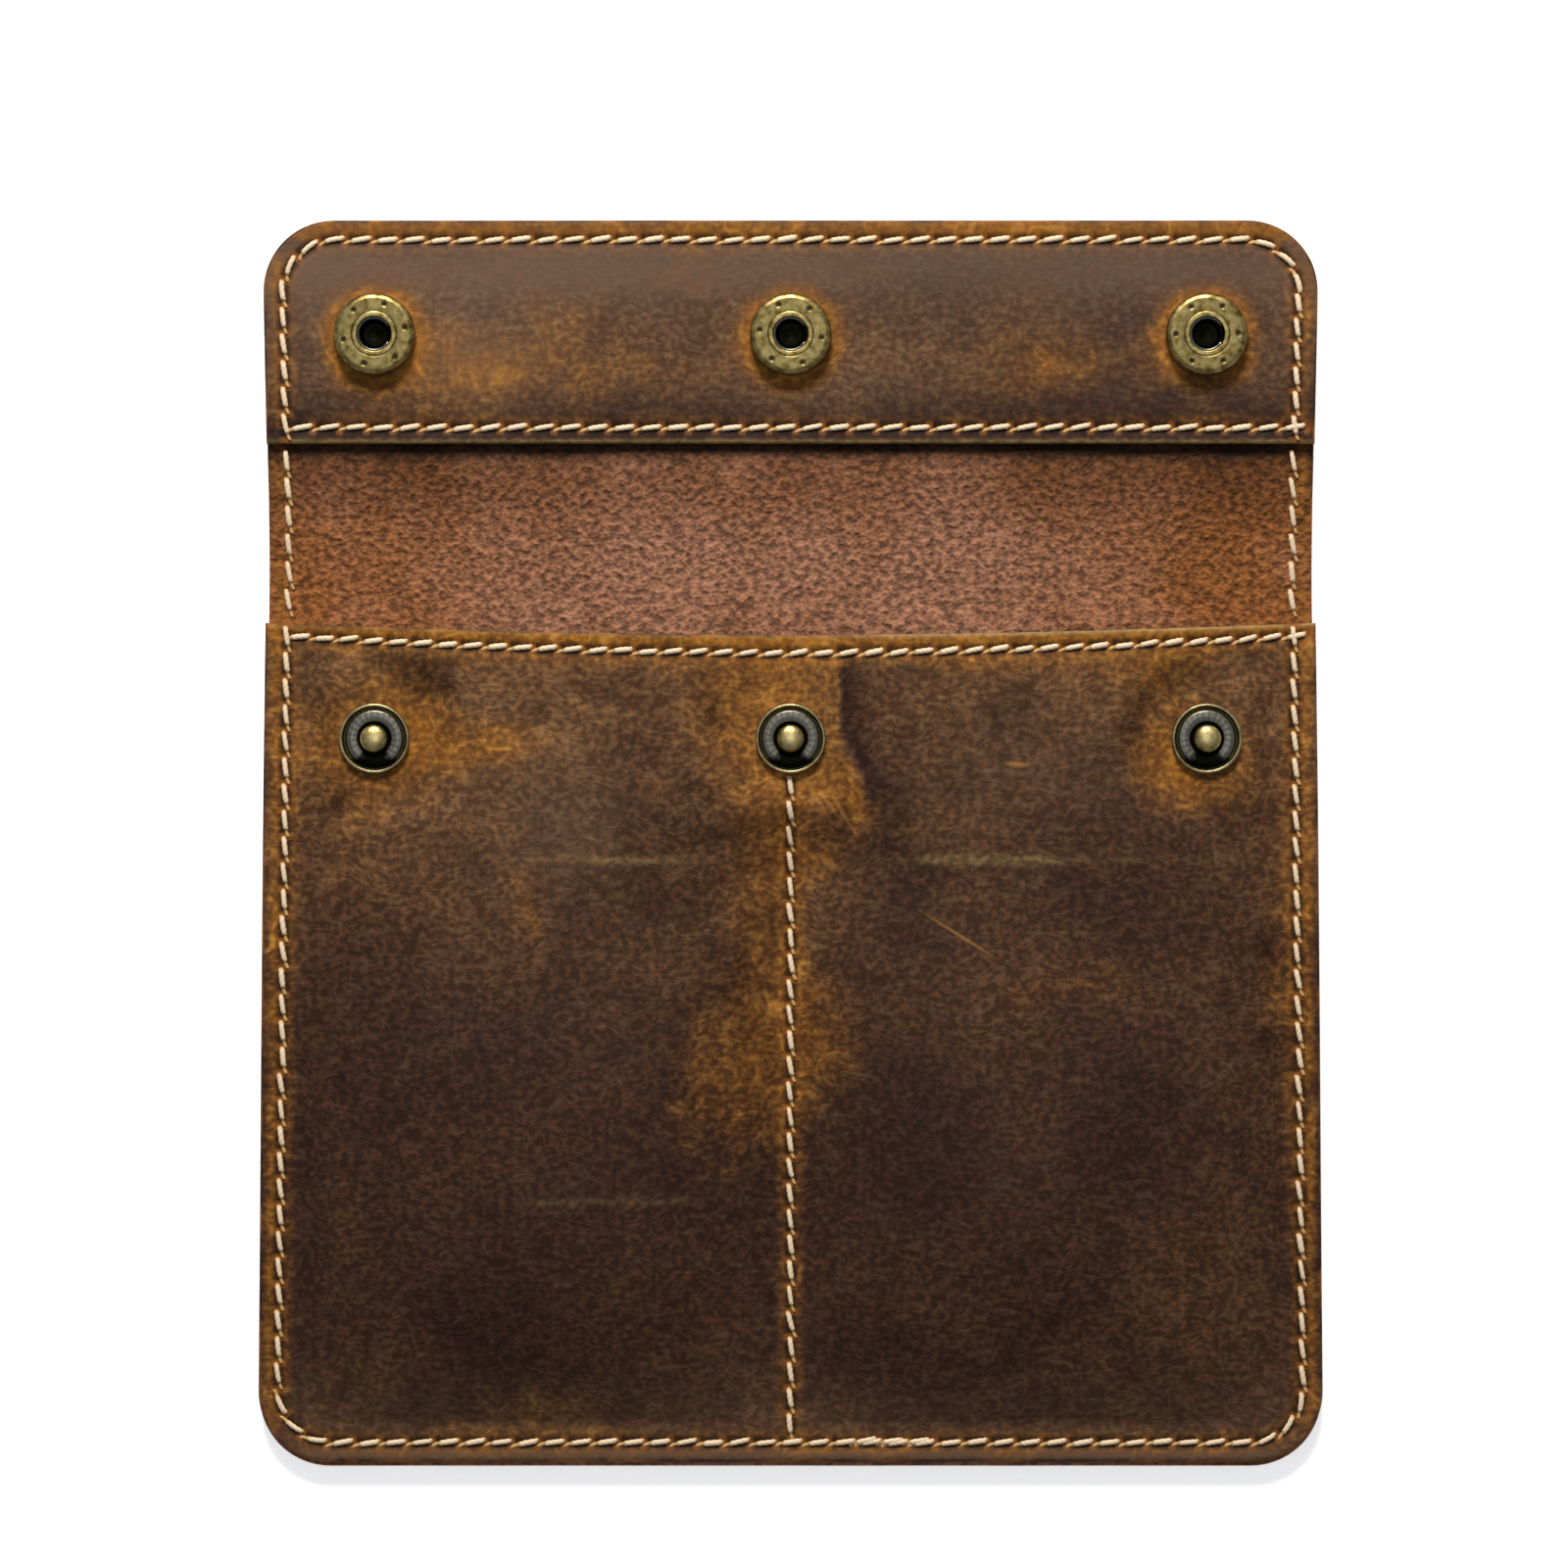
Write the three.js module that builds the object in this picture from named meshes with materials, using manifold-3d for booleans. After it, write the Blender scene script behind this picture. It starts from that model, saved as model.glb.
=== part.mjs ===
// Leather travel pouch with two pockets and a snap flap, lying open on its back.
// X runs across the pouch, +Y towards the flap's free end, +Z out of the front. Millimetres.
import * as THREE from 'three';
import { mergeVertices } from 'three/addons/utils/BufferGeometryUtils.js';
import Module from 'manifold-3d';

const wasm = await Module();
wasm.setup();

// Outline of the hide, laid open
const openLength = 190;
const waistWidth = 159.2;
const flapFlare = 0.9;
const baseFlare = 1.7;
const cornerRadius = 11;

// Leather layers
const hideThickness = 1.6;
const facingThickness = 1.4;
const pocketThickness = 1.6;
const glueLine = 0.1;
const creaseGap = 0.3;
const foldClearance = 0.4;

// Rows along the pouch
const socketRow = 17.5;
const studDrop = 17.7;
const mouthSetback = 9;
const facingSetback = 8.4;
const mouthDip = 2;
const bottomReveal = 0.8;

// Fullness of the pockets, measured inside
const mouthHeight = 5.2;
const bellyHeight = 8;
const valleyWidth = 13;
const sewnMargin = 6;
const dividerFlat = 2.2;
const landMargin = 0.6;
const landFade = 6;
const valleyFade = 16;
const bellyRunOut = 2;
const crownPower = 2.6;
const gridStep = 6.6;

// Snaps
const snapInset = 16.4;
const snapClearance = 0.2;
const seatGap = 0.1;
const capDiameter = 12.5;
const capFlatDiameter = 3.75;
const capHeight = 1.7;
const shankRadius = 1.6;
const shankClearance = 0.3;
const rollHeight = 0.3;
const socketDiameter = 12.4;
const socketHeight = 2.6;
const socketWeb = 0.35;
const socketEdge = 0.5;
const lipWidth = 0.8;
const lipProud = 0.1;
const lipThickness = 0.25;
const dimpleCount = 6;
const dimpleDiameter = 0.95;
const dimpleDepth = 0.25;
const springWire = 0.6;
const springClearance = 0.1;
const springOpening = 50;
const knobRadius = 2.1;
const knobLength = 1.9;
const knobClearance = 0.5;
const knobCrown = 0.8;
const knobShoulder = 0.3;
const neckRadius = 1.5;
const studDiameter = 10.7;
const studRimHeight = 1;
const rimWidth = 0.6;
const rimRounding = 0.2;
const dishDepth = 0.55;
const dishSlope = 0.25;
const channelWidth = 0.25;
const ringWidth = 1.15;
const ringSlope = 0.15;
const ringDrop = 0.15;
const postFlangeDiameter = 9.5;
const postFlangeThickness = 0.7;
const postRounding = 0.35;
const postRadius = 0.8;
const postTaper = 0.2;
const postClearance = 0.25;
const postDepth = 1.6;
const roundSides = 16;

// Seams
const seamMargin = 3;
const mouthSeamMargin = 1.9;
const mouthSeamSag = 2.7;
const hemMargin = 2.4;
const stitchPitch = 4.1;
const stitchSlant = 0.35;
const threadWidth = 1;
const threadHeight = 0.5;
const threadGap = 0.12;
const seamEndGap = 0.9;

// Levels of the stack with the flap open
const hideTop = hideThickness;
const pocketSeat = hideTop + glueLine;
const flapRise = capHeight + seatGap;
const flapTop = flapRise + hideThickness;
const facingSeat = flapTop + glueLine;
const facingTop = facingSeat + facingThickness;

// Closed flap: its facing clears the fullest part of the mouth and both rows of thread there,
// and the leather round each stud is pressed to the height where stud and socket meet
const closedFacing = pocketSeat + mouthHeight + pocketThickness + 2 * threadHeight + foldClearance;
const snapStack = seatGap + studRimHeight + snapClearance + socketHeight + seatGap;
const landHeight = closedFacing - snapStack - pocketThickness - pocketSeat;
const landTop = pocketSeat + landHeight + pocketThickness;
const spineWidth = closedFacing + facingTop - hideTop - flapTop;

// Rows as Y positions, with the fold placed where the sockets come down on the studs
const topEdge = openLength / 2;
const bottomEdge = -openLength / 2;
const socketY = topEdge - socketRow;
const lowerCrease = socketY - mouthSetback - studDrop + flapRise - spineWidth;
const upperCrease = lowerCrease + spineWidth;
const mouthEnds = lowerCrease - mouthSetback;
const studY = mouthEnds - studDrop;
const facingEdge = upperCrease + facingSetback;
const pocketBottom = bottomEdge + bottomReveal;
const closedFlapEnd = socketY + studY - topEdge;
const snapX = waistWidth / 2 - snapInset;
const snapColumns = { left: -snapX, middle: 0, right: snapX };
const studRadius = studDiameter / 2;
const dividerTop = studY - studRadius - seamEndGap;

const finishes = {
  leather: { color: '#5c4028', roughness: 0.62, metalness: 0 },
  hide: { color: '#7e5236', roughness: 0.8, metalness: 0 },
  brass: { color: '#8f7f4e', roughness: 0.38, metalness: 1 },
  steel: { color: '#8c8b86', roughness: 0.3, metalness: 1 },
  thread: { color: '#e6cfa6', roughness: 0.85, metalness: 0 },
};

const pouch = new THREE.Group();

function addPiece(name, geometry, finish, x = 0, y = 0, z = 0) {
  const mesh = new THREE.Mesh(geometry, new THREE.MeshStandardMaterial(finishes[finish]));
  mesh.name = name;
  mesh.position.set(x, y, z);
  mesh.updateMatrixWorld();
  pouch.add(mesh);
  return mesh;
}

const smooth = (from, to, value) => THREE.MathUtils.smoothstep(value, from, to);
const mix = THREE.MathUtils.lerp;

// Half width of the hide at a height along the pouch, narrowest between the creases
function halfWidth(y) {
  const belowFold = (lowerCrease - y) / (lowerCrease - bottomEdge);
  const aboveFold = (y - upperCrease) / (topEdge - upperCrease);
  return waistWidth / 2 + baseFlare * Math.max(0, belowFold) + flapFlare * Math.max(0, aboveFold);
}

// A route or outline through corner points [x, y, radius], each rounded by a tangent arc
function roundedRoute(corners, route) {
  const closed = route instanceof THREE.Shape;
  const count = corners.length;
  corners.forEach(([x, y, radius], index) => {
    const corner = new THREE.Vector2(x, y);
    const open = !closed && (index === 0 || index === count - 1);
    let arrive = corner;
    let round = null;
    if (radius > 0 && !open) {
      const [px, py] = corners[(index + count - 1) % count];
      const [nx, ny] = corners[(index + 1) % count];
      const back = new THREE.Vector2(px, py).sub(corner).normalize();
      const ahead = new THREE.Vector2(nx, ny).sub(corner).normalize();
      const halfAngle = Math.acos(back.dot(ahead)) / 2;
      const reach = radius / Math.tan(halfAngle);
      const leave = corner.clone().addScaledVector(ahead, reach);
      const middle = back.clone().add(ahead).normalize().multiplyScalar(radius / Math.sin(halfAngle)).add(corner);
      arrive = corner.clone().addScaledVector(back, reach);
      round = { middle, leave, clockwise: back.cross(ahead) > 0 };
    }
    if (index === 0) {
      route.moveTo(arrive.x, arrive.y);
    } else {
      route.lineTo(arrive.x, arrive.y);
    }
    if (round) {
      const from = arrive.clone().sub(round.middle).angle();
      const to = round.leave.clone().sub(round.middle).angle();
      route.absarc(round.middle.x, round.middle.y, radius, from, to, round.clockwise);
    }
  });
  return route;
}

function sheetBetween(low, high, lowRadius, highRadius) {
  return roundedRoute([
    [-halfWidth(low), low, lowRadius],
    [halfWidth(low), low, lowRadius],
    [halfWidth(high), high, highRadius],
    [-halfWidth(high), high, highRadius],
  ], new THREE.Shape());
}

function extruded(shape, depth) {
  return new THREE.ExtrudeGeometry(shape, { depth, bevelEnabled: false, curveSegments: 4 });
}

function punched(shape) {
  for (const x of Object.values(snapColumns)) {
    const hole = new THREE.Path();
    hole.absarc(x, socketY, shankRadius + shankClearance, 0, 2 * Math.PI, true);
    shape.holes.push(hole);
  }
  return shape;
}

// Solids for joining and cutting
function toSolid(geometry) {
  const bare = geometry.clone();
  bare.deleteAttribute('normal');
  bare.deleteAttribute('uv');
  const merged = mergeVertices(bare, 1e-4);
  const mesh = new wasm.Mesh({
    numProp: 3,
    vertProperties: new Float32Array(merged.attributes.position.array),
    triVerts: new Uint32Array(merged.index.array),
  });
  return new wasm.Manifold(mesh);
}

function fromSolid(solid) {
  const mesh = solid.getMesh();
  const geometry = new THREE.BufferGeometry();
  geometry.setAttribute('position', new THREE.BufferAttribute(new Float32Array(mesh.vertProperties), 3));
  geometry.setIndex(new THREE.BufferAttribute(new Uint32Array(mesh.triVerts), 1));
  geometry.computeVertexNormals();
  return geometry;
}

function drill(radius, sides, length, x, y, z) {
  const bit = new THREE.CylinderGeometry(radius, radius, length, sides);
  return bit.rotateX(Math.PI / 2).translate(x, y, z);
}

function cutAll(geometry, bits) {
  return fromSolid(bits.reduce((solid, bit) => solid.subtract(toSolid(bit)), toSolid(geometry)));
}

// A revolved profile of [radius, height] points, turned so that its axis is Z
function turned(profile) {
  const points = profile.map(([radius, height]) => new THREE.Vector2(radius, height));
  return new THREE.LatheGeometry(points, roundSides).rotateX(Math.PI / 2);
}

function closedGeometry(positions, triangles) {
  const geometry = new THREE.BufferGeometry();
  geometry.setAttribute('position', new THREE.Float32BufferAttribute(positions, 3));
  geometry.setIndex(triangles);
  geometry.computeVertexNormals();
  return geometry;
}

// Back hide in three stretches that meet at the two creases of the fold
function addHide() {
  const backShape = sheetBetween(bottomEdge, lowerCrease - creaseGap / 2, cornerRadius, 0);
  addPiece('back_panel', extruded(backShape, hideThickness), 'hide');

  const spineLow = creaseGap / 2;
  const spineHigh = spineWidth - creaseGap / 2;
  const slope = flapRise / spineWidth;
  const spineShape = new THREE.Shape([
    new THREE.Vector2(spineLow, slope * spineLow),
    new THREE.Vector2(spineHigh, slope * spineHigh),
    new THREE.Vector2(spineHigh, slope * spineHigh + hideThickness),
    new THREE.Vector2(spineLow, slope * spineLow + hideThickness),
  ]);
  const acrossX = new THREE.Matrix4().makeBasis(
    new THREE.Vector3(0, 1, 0), new THREE.Vector3(0, 0, 1), new THREE.Vector3(1, 0, 0));
  const spine = extruded(spineShape, waistWidth).applyMatrix4(acrossX);
  addPiece('spine_strip', spine, 'hide', -waistWidth / 2, lowerCrease, 0);

  const flapShape = punched(sheetBetween(upperCrease + creaseGap / 2, topEdge, 0, cornerRadius));
  addPiece('flap_panel', extruded(flapShape, hideThickness), 'hide', 0, 0, flapRise);

  const facingShape = punched(sheetBetween(facingEdge, topEdge, 0, cornerRadius));
  addPiece('flap_facing', extruded(facingShape, facingThickness), 'leather', 0, 0, facingSeat);
}

// Height of the pockets inside, over the back hide. Two crowned chambers run down from the
// mouth on either side of the divider; they stay flat at the seams and level round each stud.
const landReach = studRadius + landMargin;
const landFlat = landReach * Math.SQRT2;
const innerBottom = pocketBottom + sewnMargin;
const bellyMiddle = (closedFlapEnd + innerBottom) / 2;

function pocketRise(x, y) {
  const inner = halfWidth(y) - sewnMargin;
  const across = (Math.abs(x) - dividerFlat) / (inner - dividerFlat);
  const inChamber = across > 0 && across < 1;
  const chambers = inChamber ? 1 - Math.abs(2 * across - 1) ** crownPower : 0;
  const arch = Math.max(0, 1 - Math.abs(x / inner) ** (2 * crownPower));
  const valley = (1 - landHeight / mouthHeight) * Math.exp(-((x / valleyWidth) ** 2));
  const openness = smooth(dividerTop - valleyFade, dividerTop, y);
  const lower = Math.max(0, (bellyMiddle - y) / (bellyMiddle - innerBottom));
  const belly = bellyHeight * Math.max(0, 1 - lower ** crownPower);
  const fullness = mix(belly, mouthHeight, smooth(bellyMiddle, closedFlapEnd - bellyRunOut, y));
  const rise = fullness * mix(chambers, arch * (1 - valley), openness);
  const nearest = Math.min(...Object.values(snapColumns).map((column) => Math.hypot(x - column, y - studY)));
  const edge = 1 - smooth(snapX + landReach, inner, Math.abs(x));
  return mix(rise, landHeight * edge, 1 - smooth(landFlat, landFlat + landFade, nearest));
}

function subdivided(marks, step) {
  return marks.slice(1).reduce((list, mark, index) => {
    const start = marks[index];
    const cells = Math.ceil((mark - start) / step);
    for (let cell = 1; cell <= cells; cell += 1) {
      list.push(mix(start, mark, cell / cells));
    }
    return list;
  }, [marks[0]]);
}

// The mouth dips in the middle, and the rows above the studs follow it
function pocketPoint(fraction, row) {
  const levelRow = studY + landReach;
  const follow = Math.max(0, (row - levelRow) / (mouthEnds - levelRow));
  const y = row - mouthDip * (1 - fraction ** 2) * follow;
  const fromCorner = Math.max(0, pocketBottom + cornerRadius - y);
  const roundOff = cornerRadius - Math.sqrt(Math.max(0, cornerRadius ** 2 - fromCorner ** 2));
  return [fraction * (halfWidth(y) - roundOff), y];
}

function pocketGrid() {
  const half = halfWidth(studY);
  const marks = [0, dividerFlat, landReach, snapX - landReach, snapX, snapX + landReach, half - sewnMargin, half];
  const right = subdivided(marks, gridStep).map((x) => x / half);
  const columns = [...right.slice(1).reverse().map((fraction) => -fraction), ...right];
  const cornerSteps = 5;
  const corner = Array.from({ length: cornerSteps }, (_, step) => (
    pocketBottom + cornerRadius * (1 - Math.cos((step / cornerSteps) * Math.PI / 2))));
  const rowMarks = [pocketBottom + cornerRadius, studY - landReach, studY, studY + landReach,
    mouthEnds - mouthSeamMargin, mouthEnds];
  return { columns, rows: [...corner, ...subdivided(rowMarks, gridStep)] };
}

function pocketGeometry() {
  const { columns, rows } = pocketGrid();
  const across = columns.length;
  const layer = across * rows.length;
  const under = [];
  const over = [];
  rows.forEach((row) => columns.forEach((fraction) => {
    const [x, y] = pocketPoint(fraction, row);
    const z = pocketSeat + pocketRise(x, y);
    under.push(x, y, z);
    over.push(x, y, z + pocketThickness);
  }));
  const triangles = [];
  const quad = (a, b, c, d) => triangles.push(a, b, c, a, c, d);
  const wall = (a, b) => quad(a, b, b + layer, a + layer);
  for (let j = 0; j + 1 < rows.length; j += 1) {
    for (let i = 0; i + 1 < across; i += 1) {
      const a = j * across + i;
      quad(a + layer, a + 1 + layer, a + 1 + across + layer, a + across + layer);
      quad(a, a + across, a + 1 + across, a + 1);
    }
    wall((j + 1) * across, j * across);
    wall((j + 1) * across - 1, (j + 2) * across - 1);
  }
  for (let i = 0; i + 1 < across; i += 1) {
    wall(i, i + 1);
    wall(layer - 1 - i, layer - 2 - i);
  }
  return closedGeometry([...under, ...over], triangles);
}

function addPocket() {
  const bits = Object.values(snapColumns).map((x) => (
    drill(postRadius + postClearance, 12, 4 * pocketThickness, x, studY, landTop - pocketThickness / 2)));
  return addPiece('front_pocket', cutAll(pocketGeometry(), bits), 'leather');
}

// Cap: domed head under the flap, with a shank set over the web of the socket
function capProfile() {
  const radius = capDiameter / 2;
  const flat = capFlatDiameter / 2;
  const rise = (r) => capHeight * (1 - Math.sqrt(1 - ((r - flat) / (radius - flat)) ** 2));
  const dome = [0.4, 0.65, 0.85, 0.96].map((share) => mix(flat, radius, share)).map((r) => [r, rise(r)]);
  const webTop = facingTop + seatGap + socketWeb;
  const rollBottom = webTop + seatGap;
  return [
    [0, 0], [flat, 0], ...dome, [radius, capHeight], [shankRadius, capHeight],
    [shankRadius, rollBottom], [shankRadius + 2 * shankClearance, rollBottom],
    [shankRadius + 2 * shankClearance, rollBottom + rollHeight * 0.6],
    [shankRadius, rollBottom + rollHeight], [0, rollBottom + rollHeight],
  ];
}

// Socket: drawn brass ring with a rolled lip, a groove for its spring and a web under the shank's roll
const holeRadius = knobRadius + knobClearance;
const grooveRadius = holeRadius + springWire;
const springRadius = knobRadius + springClearance + springWire / 2;
const grooveTop = socketHeight - lipThickness;
const grooveFloor = grooveTop - springWire - 2 * springClearance;
const faceHeight = socketHeight - lipProud;
const lipOuter = holeRadius + lipWidth;

function socketProfile() {
  const outer = socketDiameter / 2;
  const faceOuter = outer - socketEdge;
  const shankHole = shankRadius + shankClearance;
  return [
    [shankHole, 0], [outer - socketEdge, 0], [outer, socketEdge], [outer, faceHeight - socketEdge],
    [outer - socketEdge * 0.3, faceHeight - socketEdge * 0.3], [faceOuter, faceHeight],
    [lipOuter, faceHeight], [lipOuter - lipWidth * 0.25, socketHeight],
    [holeRadius + lipWidth * 0.3, socketHeight], [holeRadius, grooveTop],
    [grooveRadius, grooveTop], [grooveRadius, grooveFloor], [holeRadius, grooveFloor],
    [holeRadius, socketWeb], [shankHole, socketWeb], [shankHole, 0],
  ];
}

function socketGeometry() {
  const circle = (lipOuter + socketDiameter / 2 - socketEdge) / 2;
  const bits = Array.from({ length: dimpleCount }, (_, index) => {
    const turn = (index + 0.5) * 2 * Math.PI / dimpleCount;
    const x = circle * Math.cos(turn);
    const y = circle * Math.sin(turn);
    return drill(dimpleDiameter / 2, 8, 2 * dimpleDepth, x, y, faceHeight);
  });
  return cutAll(turned(socketProfile()), bits);
}

// Spring: round wire bent to an open ring, held in the socket's groove behind the knob
function springGeometry() {
  const half = THREE.MathUtils.degToRad(springOpening) / 2;
  const arc = new THREE.ArcCurve(0, 0, springRadius, half, 2 * Math.PI - half, false);
  const points = arc.getPoints(roundSides).map((point) => new THREE.Vector3(point.x, point.y, 0));
  const section = new THREE.Shape();
  section.absarc(0, 0, springWire / 2, 0, 2 * Math.PI, false);
  const path = new THREE.CatmullRomCurve3(points);
  return new THREE.ExtrudeGeometry(section, { extrudePath: path, steps: roundSides, curveSegments: 3 });
}

// Stud: dished plate with a raised rim and ring, and a headed knob over a narrow neck
const knobTip = studRimHeight + knobLength;
const postBore = postRadius + postClearance;

function studProfile() {
  const floor = studRimHeight - dishDepth;
  const ring = studRimHeight - ringDrop;
  const bulge = knobTip - knobCrown;
  const dishOuter = studRadius - rimWidth - dishSlope;
  const channelInner = dishOuter - channelWidth;
  const ringOuter = channelInner - ringSlope;
  const ringInner = ringOuter - ringWidth;
  return [
    [0, postDepth], [postBore, postDepth], [postBore, 0],
    [studRadius - rimRounding, 0], [studRadius, rimRounding], [studRadius, studRimHeight - rimRounding],
    [studRadius - rimWidth / 2, studRimHeight], [studRadius - rimWidth, studRimHeight - rimRounding / 2],
    [dishOuter, floor], [channelInner, floor], [ringOuter, ring], [ringInner, ring],
    [ringInner - 2 * ringSlope, floor], [neckRadius, floor], [neckRadius, bulge - knobShoulder],
    [knobRadius, bulge], [knobRadius, bulge + knobShoulder],
    [knobRadius * 0.75, mix(bulge, knobTip, 0.9)], [knobRadius * 0.4, knobTip], [0, knobTip],
  ];
}

// Post: flanged eyelet behind the front leather, its barrel set inside the stud
function postProfile() {
  const flange = postFlangeDiameter / 2;
  const barrelEnd = pocketThickness + postDepth;
  const back = -seatGap - postFlangeThickness;
  return [
    [0, back], [flange - postRounding, back], [flange, back + postRounding], [flange, -seatGap],
    [postRadius, -seatGap], [postRadius, barrelEnd - postTaper], [postRadius - postTaper, barrelEnd], [0, barrelEnd],
  ];
}

function addSnaps() {
  for (const [side, x] of Object.entries(snapColumns)) {
    const socketSeat = facingTop + seatGap;
    const springSeat = socketSeat + grooveFloor + springClearance + springWire / 2;
    addPiece(`snap_cap_${side}`, turned(capProfile()), 'brass', x, socketY, 0);
    addPiece(`snap_socket_${side}`, socketGeometry(), 'brass', x, socketY, socketSeat);
    addPiece(`snap_spring_${side}`, springGeometry(), 'steel', x, socketY, springSeat);
    addPiece(`snap_stud_${side}`, turned(studProfile()), 'brass', x, studY, landTop + seatGap);
    addPiece(`snap_post_${side}`, turned(postProfile()), 'brass', x, studY, landTop - pocketThickness);
  }
}

// Height of the top face of a piece, straight down from above
function surfaceOf(mesh) {
  const ray = new THREE.Raycaster();
  const down = new THREE.Vector3(0, 0, -1);
  return (x, y) => {
    ray.set(new THREE.Vector3(x, y, openLength), down);
    return ray.intersectObject(mesh)[0].point.z;
  };
}

// Saddle-stitched thread along a route: each stitch slants from one needle hole to the next,
// swells in the middle and narrows where it dips into the leather
function threadGeometry(route, surface) {
  const stitches = Math.max(1, Math.round(route.getLength() / stitchPitch));
  const stations = [
    { share: 0.08, slant: -1, width: 0.5, height: 0.3 },
    { share: 0.5, slant: 0, width: 1, height: 1 },
    { share: 0.92, slant: 1, width: 0.5, height: 0.3 },
  ];
  const positions = [];
  for (let stitch = 0; stitch < stitches; stitch += 1) {
    for (const { share, slant, width, height } of stations) {
      const place = (stitch + share) / stitches;
      const ahead = route.getTangentAt(place);
      const side = new THREE.Vector2(-ahead.y, ahead.x);
      const middle = route.getPointAt(place).addScaledVector(side, slant * stitchSlant);
      const left = middle.clone().addScaledVector(side, width * threadWidth / 2);
      const right = middle.clone().addScaledVector(side, -width * threadWidth / 2);
      const seat = Math.max(...[left, middle, right].map((point) => surface(point.x, point.y))) + threadGap;
      positions.push(left.x, left.y, seat, right.x, right.y, seat);
      positions.push(middle.x, middle.y, seat + height * (threadHeight - threadGap));
    }
  }
  const sections = stitches * stations.length;
  const triangles = [0, 1, 2];
  for (let section = 0; section + 1 < sections; section += 1) {
    for (let corner = 0; corner < 3; corner += 1) {
      const a = section * 3 + corner;
      const b = section * 3 + (corner + 1) % 3;
      triangles.push(a, a + 3, b, b, a + 3, b + 3);
    }
  }
  const last = (sections - 1) * 3;
  triangles.push(last, last + 2, last + 1);
  return closedGeometry(positions, triangles);
}

function straightRoute(x0, y0, x1, y1) {
  return roundedRoute([[x0, y0, 0], [x1, y1, 0]], new THREE.Path());
}

function seamX(y) {
  return halfWidth(y) - seamMargin;
}

function addSeams(pocket) {
  const faces = ['back_panel', 'spine_strip', 'flap_panel', 'flap_facing'];
  const on = Object.fromEntries(faces.map((name) => [name, surfaceOf(pouch.getObjectByName(name))]));
  const onPocket = surfaceOf(pocket);
  const seamRadius = cornerRadius - seamMargin;
  const sew = (name, route, surface) => addPiece(name, threadGeometry(route, surface), 'thread');

  const mouthRow = mouthEnds - mouthSeamMargin;
  const sideTop = mouthRow - stitchPitch / 2;
  const sideBottom = pocketBottom + seamMargin;
  sew('pocket_edge_thread', roundedRoute([
    [-seamX(sideTop), sideTop, 0], [-seamX(sideBottom), sideBottom, seamRadius],
    [seamX(sideBottom), sideBottom, seamRadius], [seamX(sideTop), sideTop, 0],
  ], new THREE.Path()), onPocket);

  const [mouthX, mouthY] = pocketPoint(seamX(mouthRow) / halfWidth(mouthRow), mouthRow);
  const mouthRoute = new THREE.Path();
  mouthRoute.moveTo(-mouthX, mouthY);
  mouthRoute.quadraticCurveTo(0, mouthY - 2 * mouthSeamSag, mouthX, mouthY);
  sew('mouth_thread', mouthRoute, onPocket);
  sew('divider_thread', straightRoute(0, dividerTop, 0, sideBottom + seamEndGap), onPocket);

  const hemRow = facingEdge + hemMargin;
  const topRow = topEdge - seamMargin;
  const flapLow = hemRow + stitchPitch / 2;
  sew('flap_edge_thread', roundedRoute([
    [-seamX(flapLow), flapLow, 0], [-seamX(topRow), topRow, seamRadius],
    [seamX(topRow), topRow, seamRadius], [seamX(flapLow), flapLow, 0],
  ], new THREE.Path()), on.flap_facing);
  sew('flap_hem_thread', straightRoute(-seamX(hemRow), hemRow, seamX(hemRow), hemRow), on.flap_facing);

  const stretches = {
    back_edge: ['back_panel', mouthEnds + seamEndGap, lowerCrease - seamEndGap],
    spine: ['spine_strip', lowerCrease + seamEndGap, upperCrease - seamEndGap],
    flap_root: ['flap_panel', upperCrease + seamEndGap, facingEdge - seamEndGap],
  };
  for (const [stretch, [face, low, high]] of Object.entries(stretches)) {
    sew(`${stretch}_thread_left`, straightRoute(-seamX(low), low, -seamX(high), high), on[face]);
    sew(`${stretch}_thread_right`, straightRoute(seamX(high), high, seamX(low), low), on[face]);
  }
}

addHide();
const frontPocket = addPocket();
addSnaps();
addSeams(frontPocket);

export default pouch;
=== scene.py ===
import math

import bmesh
import bpy
import numpy as np
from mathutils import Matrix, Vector
from mathutils.kdtree import KDTree


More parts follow.
